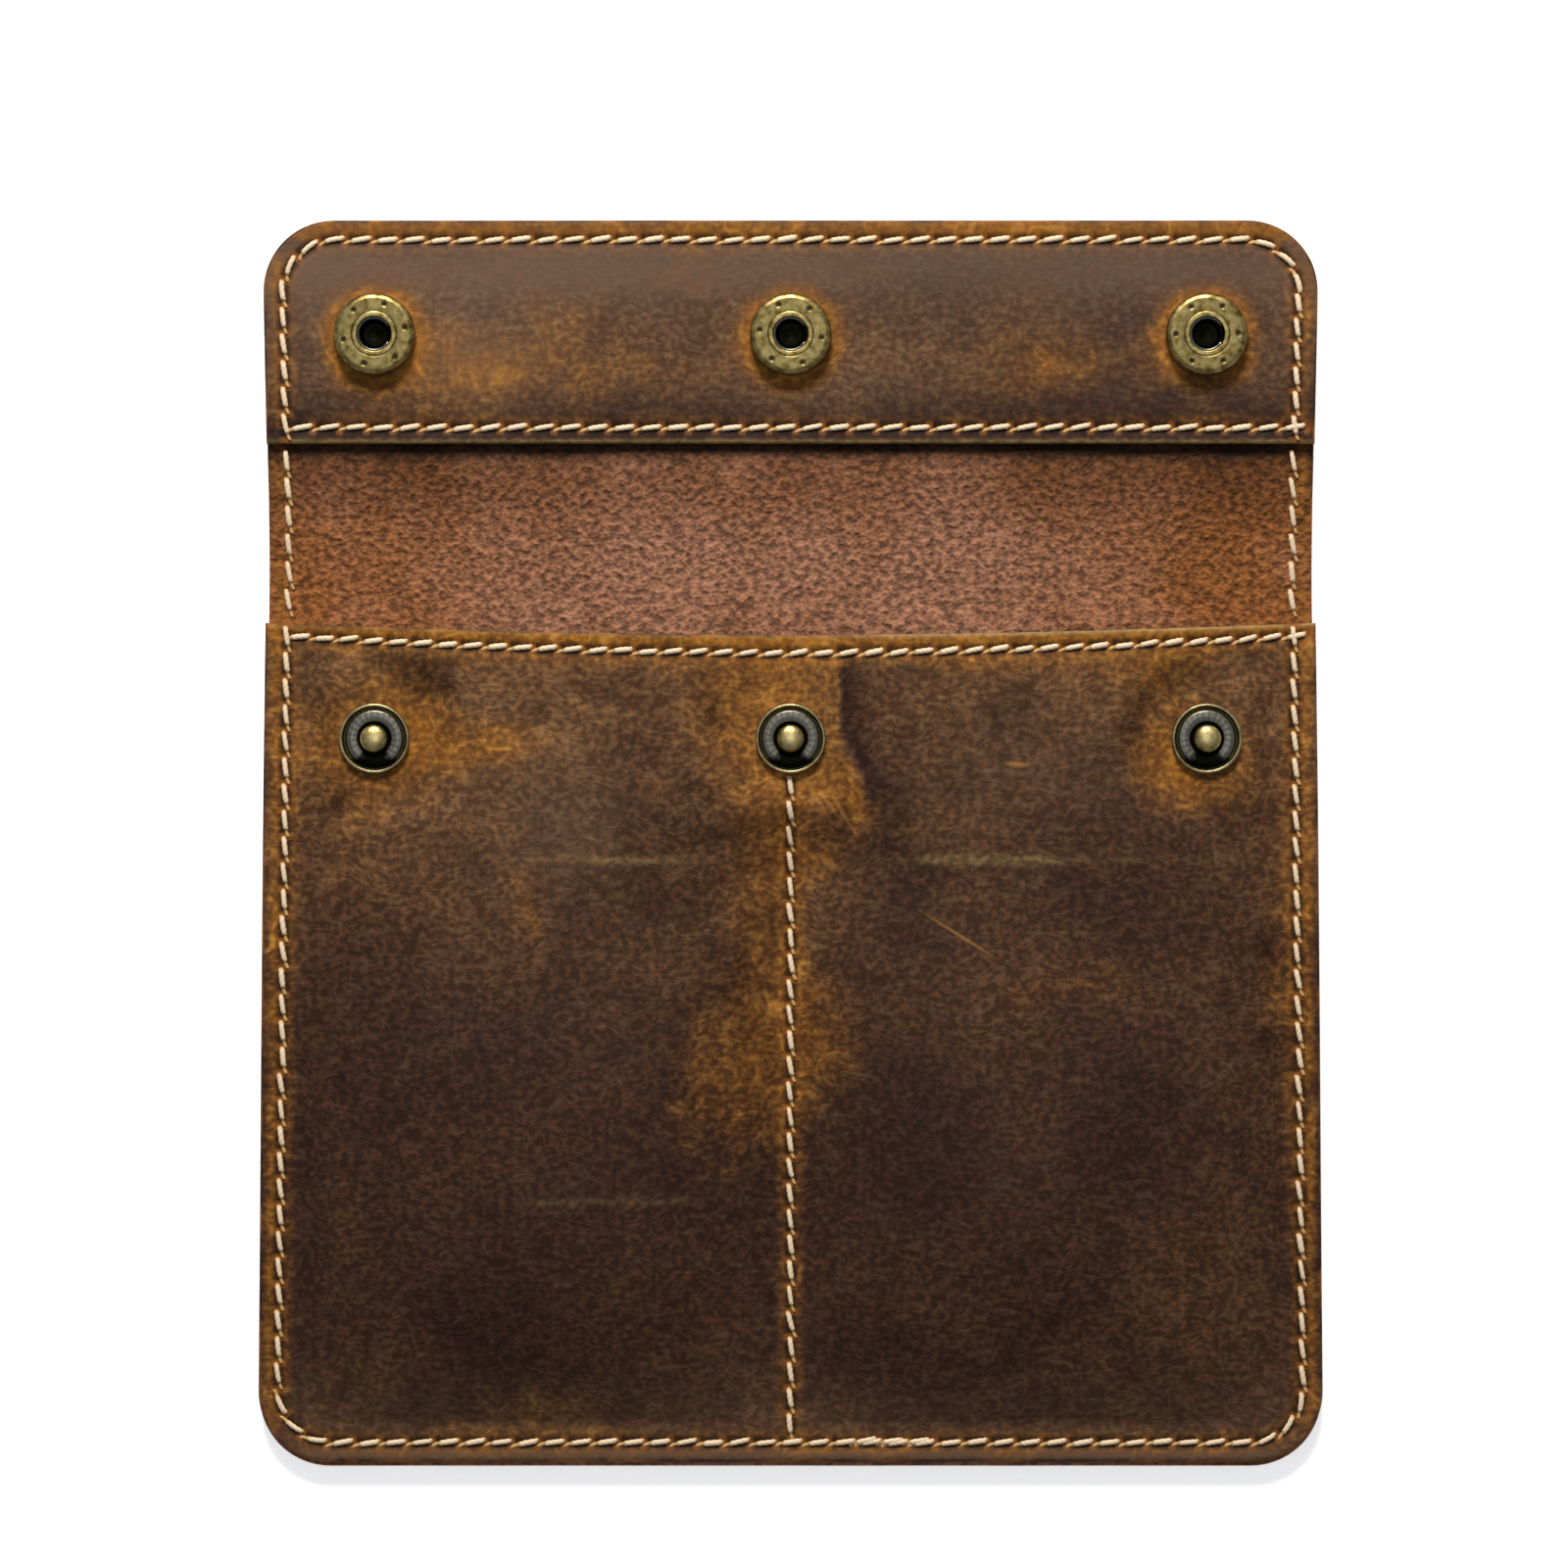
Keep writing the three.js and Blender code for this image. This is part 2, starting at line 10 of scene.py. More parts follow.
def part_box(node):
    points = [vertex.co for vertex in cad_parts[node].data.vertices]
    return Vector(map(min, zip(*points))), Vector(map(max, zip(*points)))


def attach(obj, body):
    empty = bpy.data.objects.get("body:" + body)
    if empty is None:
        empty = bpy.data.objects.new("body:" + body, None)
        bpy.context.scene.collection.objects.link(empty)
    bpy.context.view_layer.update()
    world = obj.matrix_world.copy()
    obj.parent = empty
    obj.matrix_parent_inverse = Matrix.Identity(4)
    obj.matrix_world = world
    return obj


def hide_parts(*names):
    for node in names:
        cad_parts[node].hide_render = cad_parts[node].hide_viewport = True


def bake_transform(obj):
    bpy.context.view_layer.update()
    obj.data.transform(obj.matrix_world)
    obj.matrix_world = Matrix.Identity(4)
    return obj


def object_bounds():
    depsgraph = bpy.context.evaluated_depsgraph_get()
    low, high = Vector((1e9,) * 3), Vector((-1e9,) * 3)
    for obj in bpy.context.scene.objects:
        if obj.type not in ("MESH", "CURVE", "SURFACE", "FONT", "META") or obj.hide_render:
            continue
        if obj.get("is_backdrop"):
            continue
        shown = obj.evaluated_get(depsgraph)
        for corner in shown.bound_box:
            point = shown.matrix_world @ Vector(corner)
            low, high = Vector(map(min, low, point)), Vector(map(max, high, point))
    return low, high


# Leather travel pouch with two pockets and a snap flap, lying open on its back.
# Lengths in this file are millimetres, until a mesh is made.
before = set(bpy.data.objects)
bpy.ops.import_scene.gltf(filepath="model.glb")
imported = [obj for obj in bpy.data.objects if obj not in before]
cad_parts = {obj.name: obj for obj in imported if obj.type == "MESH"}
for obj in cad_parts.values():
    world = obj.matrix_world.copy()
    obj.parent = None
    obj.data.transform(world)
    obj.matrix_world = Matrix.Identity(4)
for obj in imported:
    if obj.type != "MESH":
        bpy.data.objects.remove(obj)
cad_low, cad_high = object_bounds()
MM = 0.001


def span(node):
    """Lowest and highest corner of a solid of the frame, in millimetres."""
    low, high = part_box(node)
    return np.array(low) / MM, np.array(high) / MM


# Places taken from the frame
back_low, back_high = span("back_panel")
spine_low, spine_high = span("spine_strip")
flap_low, flap_high = span("flap_panel")
facing_low, facing_high = span("flap_facing")
pocket_low, pocket_high = span("front_pocket")
stud_low, stud_high = span("snap_stud_right")
socket_low, socket_high = span("snap_socket_right")
cap_low, cap_high = span("snap_cap_right")
post_low, post_high = span("snap_post_right")
spring_low, spring_high = span("snap_spring_right")

bottom_edge = back_low[1]
top_edge = flap_high[1]
waist_half = spine_high[0]
lower_crease = (back_high[1] + spine_low[1]) / 2
upper_crease = (spine_high[1] + flap_low[1]) / 2
mid_spine = (lower_crease + upper_crease) / 2
hide_thickness = back_high[2]
flap_rise = flap_low[2]
facing_edge = facing_low[1]
facing_seat = facing_low[2]
facing_top = facing_high[2]
pocket_seat = pocket_low[2]
pocket_bottom = pocket_low[1]
mouth_ends = pocket_high[1]
snap_x = (stud_low[0] + stud_high[0]) / 2
stud_y = (stud_low[1] + stud_high[1]) / 2
stud_seat = stud_low[2]
stud_radius = (stud_high[0] - stud_low[0]) / 2
socket_y = (socket_low[1] + socket_high[1]) / 2
socket_seat = socket_low[2]
snap_columns = {"left": -snap_x, "middle": 0.0, "right": snap_x}

# Sizes of the leather and its seams that no solid's box gives
flap_flare = 0.9
base_flare = 1.7
corner_radius = 11.0
square_corner = 0.8
pocket_thickness = 1.6
mouth_dip = 2.0
pocket_overhang = 0.4
mouth_height = 5.2
belly_height = 8.0
valley_width = 13.0
sewn_margin = 6.0
divider_flat = 2.2
land_margin = 0.6
land_fade = 6.0
valley_fade = 16.0
belly_run_out = 2.0
crown_power = 2.6
seat_gap = 0.1
seam_margin = 3.0
mouth_seam_margin = 1.9
mouth_seam_sag = 2.7
hem_margin = 2.4
stitch_pitch = 4.05
mouth_pitch = 3.8
divider_pitch = 3.86
seam_end_gap = 0.9
crossing_gap = 0.5
crossing_run = 1.5
tack_start, tack_end, tack_aside = 9.0, 21.2, 0.2
thread_width = 0.82
thread_height = 0.64
thread_lift = 0.24
stitch_share = 1.04
stitch_slant = 0.3
tail_droop = 0.3
tail_share = 0.26
tail_width = 0.7
body_end = 0.98
stitch_wobble, girth_wobble = 0.06, 0.05
ply_twist = 1.8
pucker_depth, pucker_reach = 0.34, 1.05
hole_depth, hole_reach = 0.12, 0.5
furrow_depth, furrow_reach = 0.62, 0.95
socket_flat, socket_free = 8.0, 13.0
punch_radius = 4.75
punch_turns = {"left": 11, "middle": -7, "right": 1}
edge_rounding = 0.5
climb_margin = 2.0
crease_x = 7.6
crease_turn, crease_turned = 18.0, 8.0
crease_shift = 3.6
crease_ridge, crease_groove = 0.22, 0.32
pocket_lie, facing_lie, strip_lie = 0.22, 0.16, 0.1
rub_row = -2.3
slot_rub_row = -54.0
# Lines that an edge has rubbed: row, half width, start, end, strength
rub_marks = [
    (rub_row, 0.6, -46, -12, 0.07), (rub_row, 0.55, -33, -14, 0.19), (rub_row, 0.6, 12, 72, 0.07),
    (rub_row, 0.75, 18, 43, 0.2), (slot_rub_row, 0.6, -42, -13, 0.09)]
# Scratches: middle, turn in degrees, half length, half width, strength
scratches = [
    ((25.2, -13.5), -32, 8.5, 0.36, 0.55), ((34.3, 12.2), -4, 2.6, 0.6, 0.8),
    ((7.6, 5.4), -60, 7.0, 0.5, 0.7), ((5.6, 6.4), -52, 5.0, 0.4, 0.6)]

land_top = stud_seat - seat_gap
land_height = land_top - pocket_thickness - pocket_seat
land_reach = stud_radius + land_margin
land_flat = land_reach * math.sqrt(2)
closed_flap_end = socket_y + stud_y - top_edge
inner_bottom = pocket_bottom + sewn_margin
belly_middle = (closed_flap_end + inner_bottom) / 2
divider_top = stud_y - stud_radius - seam_end_gap
divider_start = stud_y - stud_radius - crossing_gap / 2


def ease(low, high, value):
    """0 below low, 1 above high, smooth between."""
    share = np.clip((value - low) / (high - low), 0, 1)
    return share * share * (3 - 2 * share)


def mix(a, b, share):
    return a + (b - a) * share


def half_width(y):
    """Half the width of the hide, narrowest between the creases."""
    below = np.maximum(0, (lower_crease - y) / (lower_crease - bottom_edge))
    above = np.maximum(0, (y - upper_crease) / (top_edge - upper_crease))
    return waist_half + base_flare * below + flap_flare * above


def lie(x, y, size, seed):
    """Gentle unevenness of leather lying by itself, about -1 to 1, with waves of this size."""
    draw = np.random.default_rng(seed)
    total = np.zeros(np.broadcast(x, y).shape)
    waves = 7
    for _ in range(waves):
        angle, start = draw.uniform(0, 2 * math.pi, 2)
        length = size * draw.uniform(0.6, 1.7)
        total += np.sin((x * math.cos(angle) + y * math.sin(angle)) * 2 * math.pi / length + start)
    return total / math.sqrt(2 * waves)


# Seams
def unit(vector):
    return vector / np.linalg.norm(vector)


def rounded_route(corners):
    """Points along straight runs between corners (x, y, radius), each inner corner rounded."""
    route = [np.array(corners[0][:2])]
    arc_steps = 16
    for before, (x, y, radius), after in zip(corners, corners[1:], corners[2:]):
        corner = np.array((x, y))
        back = unit(np.array(before[:2]) - corner)
        ahead = unit(np.array(after[:2]) - corner)
        half_angle = math.acos(back @ ahead) / 2
        middle = corner + unit(back + ahead) * radius / math.sin(half_angle)
        start = corner + back * radius / math.tan(half_angle) - middle
        end = corner + ahead * radius / math.tan(half_angle) - middle
        turn = math.atan2(start[0] * end[1] - start[1] * end[0], start @ end)
        for step in range(arc_steps + 1):
            c, s = math.cos(turn * step / arc_steps), math.sin(turn * step / arc_steps)
            route.append(middle + np.array((c * start[0] - s * start[1], s * start[0] + c * start[1])))
    route.append(np.array(corners[-1][:2]))
    return np.array(route)


class Seam:
    """A row of stitches along a route on the leather."""

    def __init__(self, route, pitch=stitch_pitch):
        steps = np.linalg.norm(np.diff(route, axis=0), axis=1)
        run = np.concatenate([[0], np.cumsum(steps)])
        self.length = run[-1]
        self.run = np.linspace(0, self.length, int(self.length / 0.4) + 2)
        self.points = np.stack([np.interp(self.run, run, route[:, axis]) for axis in (0, 1)], -1)
        tangent = np.gradient(self.points, axis=0)
        self.tangent = tangent / np.linalg.norm(tangent, axis=1)[:, None]
        self.count = max(1, round(self.length / pitch))
        self.pitch = self.length / self.count

    def at(self, run):
        """Point and direction of the seam at a length run along it."""
        point = [np.interp(run, self.run, self.points[:, axis]) for axis in (0, 1)]
        ahead = [np.interp(run, self.run, self.tangent[:, axis]) for axis in (0, 1)]
        return np.stack(point, -1), np.stack(ahead, -1)


def nearest_seam(x, y, seams):
    """Distance from the nearest seam, and how many stitches along it, for arrays of points."""
    total = sum(len(seam.points) for seam in seams)
    tree = KDTree(total)
    rows = []
    for seam in seams:
        for point, ahead, run in zip(seam.points, seam.tangent, seam.run):
            tree.insert((point[0], point[1], 0), len(rows))
            rows.append((point[0], point[1], ahead[0], ahead[1], run, seam.length, seam.pitch))
    tree.balance()
    rows = np.array(rows)
    found = [tree.find((px, py, 0))[1] for px, py in zip(np.ravel(x), np.ravel(y))]
    px, py, tx, ty, run, length, pitch = rows[found].T
    dx, dy = np.ravel(x) - px, np.ravel(y) - py
    along = dx * tx + dy * ty
    inside = (run + along >= 0) & (run + along <= length)
    gap = np.where(inside, np.abs(dx * ty - dy * tx), np.hypot(dx, dy))
    phase = np.clip(run + along, 0, length) / pitch
    return gap.reshape(np.shape(x)), phase.reshape(np.shape(x))


def seam_x(y):
    return half_width(y) - seam_margin


def pocket_point(fraction, row):
    """The mouth dips in the middle and the rows above the studs follow it; the bottom corners are round."""
    level_row = stud_y + land_reach
    follow = np.maximum(0, (row - level_row) / (mouth_ends - level_row))
    y = row - mouth_dip * (1 - fraction ** 2) * follow
    return fraction * (pocket_half_width(y) - round_off(y - pocket_bottom)), y


def pocket_half_width(y):
    """The filled front leather stands out a little past the hide, most at the mouth."""
    return half_width(y) + pocket_overhang * ease(pocket_bottom, mouth_ends - 20, y)


def round_off(from_end):
    """How far a round corner cuts in, this far from the end of a sheet."""
    left = np.clip(corner_radius - from_end, 0, corner_radius)
    return corner_radius - np.sqrt(corner_radius ** 2 - left ** 2)


seam_radius = corner_radius - seam_margin
mouth_row = mouth_ends - mouth_seam_margin
side_top = mouth_ends - crossing_gap
side_bottom = pocket_bottom + seam_margin
hem_row = facing_edge + hem_margin
top_row = top_edge - seam_margin
flap_side_low = facing_edge + crossing_gap
strip_low = mouth_ends + seam_end_gap
strip_high = facing_edge - seam_end_gap

# Both sides are sewn upwards, so that their stitches lean alike
pocket_route = rounded_route([
    (-seam_x(side_top), side_top, 0), (-seam_x(side_bottom), side_bottom, seam_radius),
    (seam_x(side_bottom), side_bottom, seam_radius), (seam_x(side_top), side_top, 0)])
pocket_edge_seams = [Seam(pocket_route[1::-1]), Seam(pocket_route[1:])]
mouth_x, mouth_y = pocket_point(seam_x(mouth_row) / half_width(mouth_row), mouth_row)
mouth_across = np.linspace(-1, 1 + crossing_run / mouth_x, 61)
mouth_route = [mouth_across * mouth_x, mouth_y - mouth_seam_sag * (1 - mouth_across ** 2)]
mouth_seam = Seam(np.stack(mouth_route, -1), mouth_pitch)
divider_seam = Seam(rounded_route([(0, side_bottom + crossing_gap, 0), (0, divider_start, 0)]), divider_pitch)
tack_row = side_bottom + tack_aside
tack_seam = Seam(rounded_route([(tack_start, tack_row, 0), (tack_end, tack_row, 0)]))
flap_route = rounded_route([
    (-seam_x(flap_side_low), flap_side_low, 0), (-seam_x(top_row), top_row, seam_radius),
    (seam_x(top_row), top_row, seam_radius), (seam_x(flap_side_low), flap_side_low, 0)])
flap_edge_seams = [Seam(flap_route[:-1]), Seam(flap_route[:-3:-1])]
hem_seam = Seam(rounded_route([(-seam_x(hem_row), hem_row, 0), (seam_x(hem_row) + crossing_run, hem_row, 0)]))
strip_middle = (strip_low + strip_high) / 2
strip_seams = {}
for part, (low, high) in {"low": (strip_low, strip_middle), "high": (strip_middle, strip_high)}.items():
    strip_seams[part] = [
        Seam(rounded_route([(-seam_x(low), low, 0), (-seam_x(high), high, 0)])),
        Seam(rounded_route([(seam_x(low), low, 0), (seam_x(high), high, 0)]))]

pocket_seams = [*pocket_edge_seams, mouth_seam, divider_seam]
facing_seams = [*flap_edge_seams, hem_seam]
back_seams = [*pocket_edge_seams, divider_seam, *strip_seams["low"]]
flap_seams = [*flap_edge_seams, hem_seam, *strip_seams["high"]]


def pucker(gap, phase):
    """How far the stitches draw the leather in: a soft valley, deeper at each needle hole."""
    to_hole = np.abs(phase - np.round(phase)) * stitch_pitch
    valley = pucker_depth * np.exp(-(gap / pucker_reach) ** 2)
    return valley + hole_depth * np.exp(-(gap ** 2 + to_hole ** 2) / hole_reach ** 2)


def furrow(gap):
    """Groove that holds the thread on the back of the hide, so that it lies flush."""
    return furrow_depth * np.exp(-(gap / furrow_reach) ** 4)


# Faces of the leather
def pocket_rise(x, y):
    """Height of the pockets inside: two crowned chambers, flat at the seams and level round each stud."""
    inner = half_width(y) - sewn_margin
    across = (np.abs(x) - divider_flat) / (inner - divider_flat)
    chambers = 1 - np.abs(2 * np.clip(across, 0, 1) - 1) ** crown_power
    arch = np.maximum(0, 1 - np.abs(x / inner) ** (2 * crown_power))
    valley = (1 - land_height / mouth_height) * np.exp(-(x / valley_width) ** 2)
    openness = ease(divider_top - valley_fade, divider_top, y)
    lower = np.maximum(0, (belly_middle - y) / (belly_middle - inner_bottom))
    belly = belly_height * np.maximum(0, 1 - lower ** crown_power)
    fullness = mix(belly, mouth_height, ease(belly_middle, closed_flap_end - belly_run_out, y))
    rise = fullness * mix(chambers, arch * (1 - valley), openness)
    edge = 1 - ease(snap_x + land_reach, inner, np.abs(x))
    return mix(rise, land_height * edge, near_stud(x, y))


def near_snap(x, y, row, flat, free):
    """1 on the level leather round each snap of a row, fading to 0."""
    nearest = np.min([np.hypot(x - column, y - row) for column in snap_columns.values()], axis=0)
    return 1 - ease(flat, free, nearest)


def near_stud(x, y):
    return near_snap(x, y, stud_y, land_flat, land_flat + land_fade)


def fold_rise(y):
    """The hide climbs across the bare strip, on to the heads of the snaps."""
    return flap_rise * ease(mouth_ends + climb_margin, facing_edge - climb_margin, y)


def crease(x, y):
    """Distance to the right of the fold that runs down beside the middle stud, and how sharp the fold is."""
    bow = crease_shift * (1 - ease(crease_turned, crease_turn, y))
    return x - crease_x - bow, ease(-2, 13, y) * (1 - ease(28, 32, y))


def pocket_face(x, y, gap, phase):
    rise = pocket_rise(x, y)
    free = (1 - near_stud(x, y)) * np.clip(rise / 3, 0, 1)
    right, sharp = crease(x, y)
    ridge = crease_ridge * np.exp(-((right + 1.3) / 1.1) ** 2)
    groove = crease_groove * np.exp(-((right - 0.5) / 0.8) ** 2)
    fold = sharp * (ridge - groove)
    uneven = pocket_lie * lie(x, y, 34, 5) * free
    return pocket_seat + rise + pocket_thickness + uneven + fold - pucker(gap, phase)


def facing_face(x, y, gap, phase):
    free = 1 - near_snap(x, y, socket_y, socket_flat, socket_free)
    return facing_top + facing_lie * (lie(x, y, 30, 9) - 0.6) * free - pucker(gap, phase)


def strip_face(x, y, gap, phase):
    return hide_thickness + fold_rise(y) + strip_lie * lie(x, y, 16, 3) - pucker(gap, phase)


def back_face(x, y, gap, phase):
    return fold_rise(y) + furrow(gap)


def corner_inset(a, b, radius):
    """Distance inside a round corner of two edges that are this far away."""
    rounded = radius - np.hypot(np.maximum(radius - a, 0), np.maximum(radius - b, 0))
    return np.where((a < radius) & (b < radius), rounded, np.minimum(a, b))


def rounded_over(inset):
    """Drop of a face towards its cut edge."""
    left = np.clip(1 - inset / edge_rounding, 0, 1)
    return edge_rounding * (1 - np.sqrt(1 - left ** 2))


# Meshes
rim_lines = np.array([0.0, 0.03, 0.1, 0.2, 0.34, 0.5, 0.8, 1.2])
beside_seam = np.array([-1.4, -0.9, -0.55, -0.25, 0.0, 0.25, 0.55, 0.9, 1.4])
fine_step = 0.85
beside_mark = np.array([-1.2, -0.7, -0.35, 0.0, 0.35, 0.7, 1.2])


def filled(marks, step):
    """Grid lines through all the marks, no further apart than step."""
    marks = sorted(marks)
    lines = [marks[0]]
    for start, end in zip(marks, marks[1:]):
        if end - start < 0.01:
            continue
        cells = max(1, math.ceil((end - start) / step))
        lines.extend(start + (end - start) * cell / cells for cell in range(1, cells + 1))
    return np.array(lines)


def columns_of(step, marks=()):
    """Grid columns as shares of the half width, close together at the side seams and both cut edges."""
    right = filled([0, *marks, *(waist_half - rim_lines), *(waist_half - seam_margin - beside_seam)], step)
    return np.concatenate([-right[:0:-1], right]) / waist_half


def round_end(end, inward):
    """Rows at the end of a sheet with round corners, close together at its seam."""
    turns = np.linspace(0, math.pi / 2, 15)
    rounding = end + inward * corner_radius * (1 - np.cos(turns))
    return [*rounding, *(end + inward * (seam_margin + beside_seam))]


def object_of(name, points, faces, materials, face_materials=None):
    """A smooth mesh from points in millimetres, with its place on the uncut hide kept for the patterns."""
    mesh = bpy.data.meshes.new(name)
    mesh.from_pydata((np.asarray(points) * MM).tolist(), [], [list(face) for face in faces])
    for material in materials:
        mesh.materials.append(material)
    if face_materials is not None:
        mesh.polygons.foreach_set("material_index", np.asarray(face_materials, dtype=np.int32))
    mesh.shade_smooth()
    made = bpy.data.objects.new(name, mesh)
    bpy.context.scene.collection.objects.link(made)
    place = mesh.attributes.new("cut", "FLOAT_VECTOR", "POINT")
    place.data.foreach_set("vector", np.asarray(points, dtype=np.float32).ravel())
    return made


def belt_of(sides):
    """Points of a ring, and the faces between it and the next ring."""
    ring = np.arange(sides)
    after = (ring + 1) % sides
    return ring, np.stack([ring, ring + sides, after + sides, after], -1)


def mark(piece, name, values):
    """Keeps one number for each point of a mesh, for its material to read."""
    kept = piece.data.attributes.new(name, "FLOAT", "POINT")
    padded = np.zeros(len(piece.data.vertices), dtype=np.float32)
    padded[:np.size(values)] = np.ravel(values)
    kept.data.foreach_set("value", padded)


def leather_sheet(name, x, y, top, under, materials, joined_row=None):
    """A closed sheet between two faces on one grid. Materials are for the top, the underside and the edge.
    An end that joins another length has points of its own, so that its corner stays sharp."""
    rows, columns = x.shape
    count = rows * columns
    faces_up = np.stack([x, y, top], -1).reshape(-1, 3)
    faces_down = np.stack([x, y, under], -1).reshape(-1, 3)
    index = np.arange(count).reshape(rows, columns)
    upper = np.stack([index[:-1, :-1], index[:-1, 1:], index[1:, 1:], index[1:, :-1]], -1).reshape(-1, 4)
    ring = np.concatenate([index[0, :-1], index[:-1, -1], index[-1, :0:-1], index[:0:-1, 0]])
    after = np.roll(ring, -1)
    wall = np.stack([ring + count, after + count, after, ring], -1)
    points = np.concatenate([faces_up, faces_down])
    if joined_row is not None:
        own = np.concatenate([index[joined_row], index[joined_row] + count])
        renamed = np.arange(len(points))
        renamed[own] = len(points) + np.arange(len(own))
        at_joint = np.isin(wall, own).all(axis=1)
        wall[at_joint] = renamed[wall[at_joint]]
        points = np.concatenate([points, points[own]])
    faces = np.concatenate([upper, upper[:, ::-1] + count, wall])
    unique = list(dict.fromkeys(materials))
    slots = np.repeat([unique.index(m) for m in materials], [len(upper), len(upper), len(wall)])
    return object_of(name, points, faces, unique, slots)


def spots(x, y, marks):
    """Soft oval marks (x, y, half length, half width, turn in degrees, strength), added together."""
    total = np.zeros(np.shape(x))
    for cx, cy, long, wide, turn, strength in marks:
        c, s = math.cos(math.radians(turn)), math.sin(math.radians(turn))
        along = ((x - cx) * c + (y - cy) * s) / long
        aside = ((y - cy) * c - (x - cx) * s) / wide
        total += strength * np.exp(-(along ** 2 + aside ** 2))
    return total


# Shader nodes
def linear(hex_colour):
    """An sRGB hex colour as the linear colour that a shader takes."""
    shares = [int(hex_colour[start:start + 2], 16) / 255 for start in (1, 3, 5)]
    return (*(s / 12.92 if s <= 0.04045 else ((s + 0.055) / 1.055) ** 2.4 for s in shares), 1.0)


def fill(made, inputs):
    """Sets the inputs of a node: a value is kept in its socket, an output is linked to it."""
    for name, value in inputs.items():
        if isinstance(value, bpy.types.NodeSocket):
            made.id_data.links.new(value, made.inputs[name])
        else:
            made.inputs[name].default_value = value


# A Mix node that blends its inputs 6 and 7, two colours, by its input 0
AS_COLOUR = {"data_type": "RGBA", "out": 2}


def start_material(name):
    """An empty material, a function that adds nodes to it, and its shader."""
    material = bpy.data.materials.new(name)
    material.use_nodes = True
    tree = material.node_tree

    def node(kind, inputs, out=0, **settings):
        """Adds a node with its inputs and settings, and gives back one of its outputs."""
        made = tree.nodes.new("ShaderNode" + kind)
        for setting, value in settings.items():
            setattr(made, setting, value)
        fill(made, inputs)
        return made.outputs[out]

    return material, node, tree.nodes["Principled BSDF"]


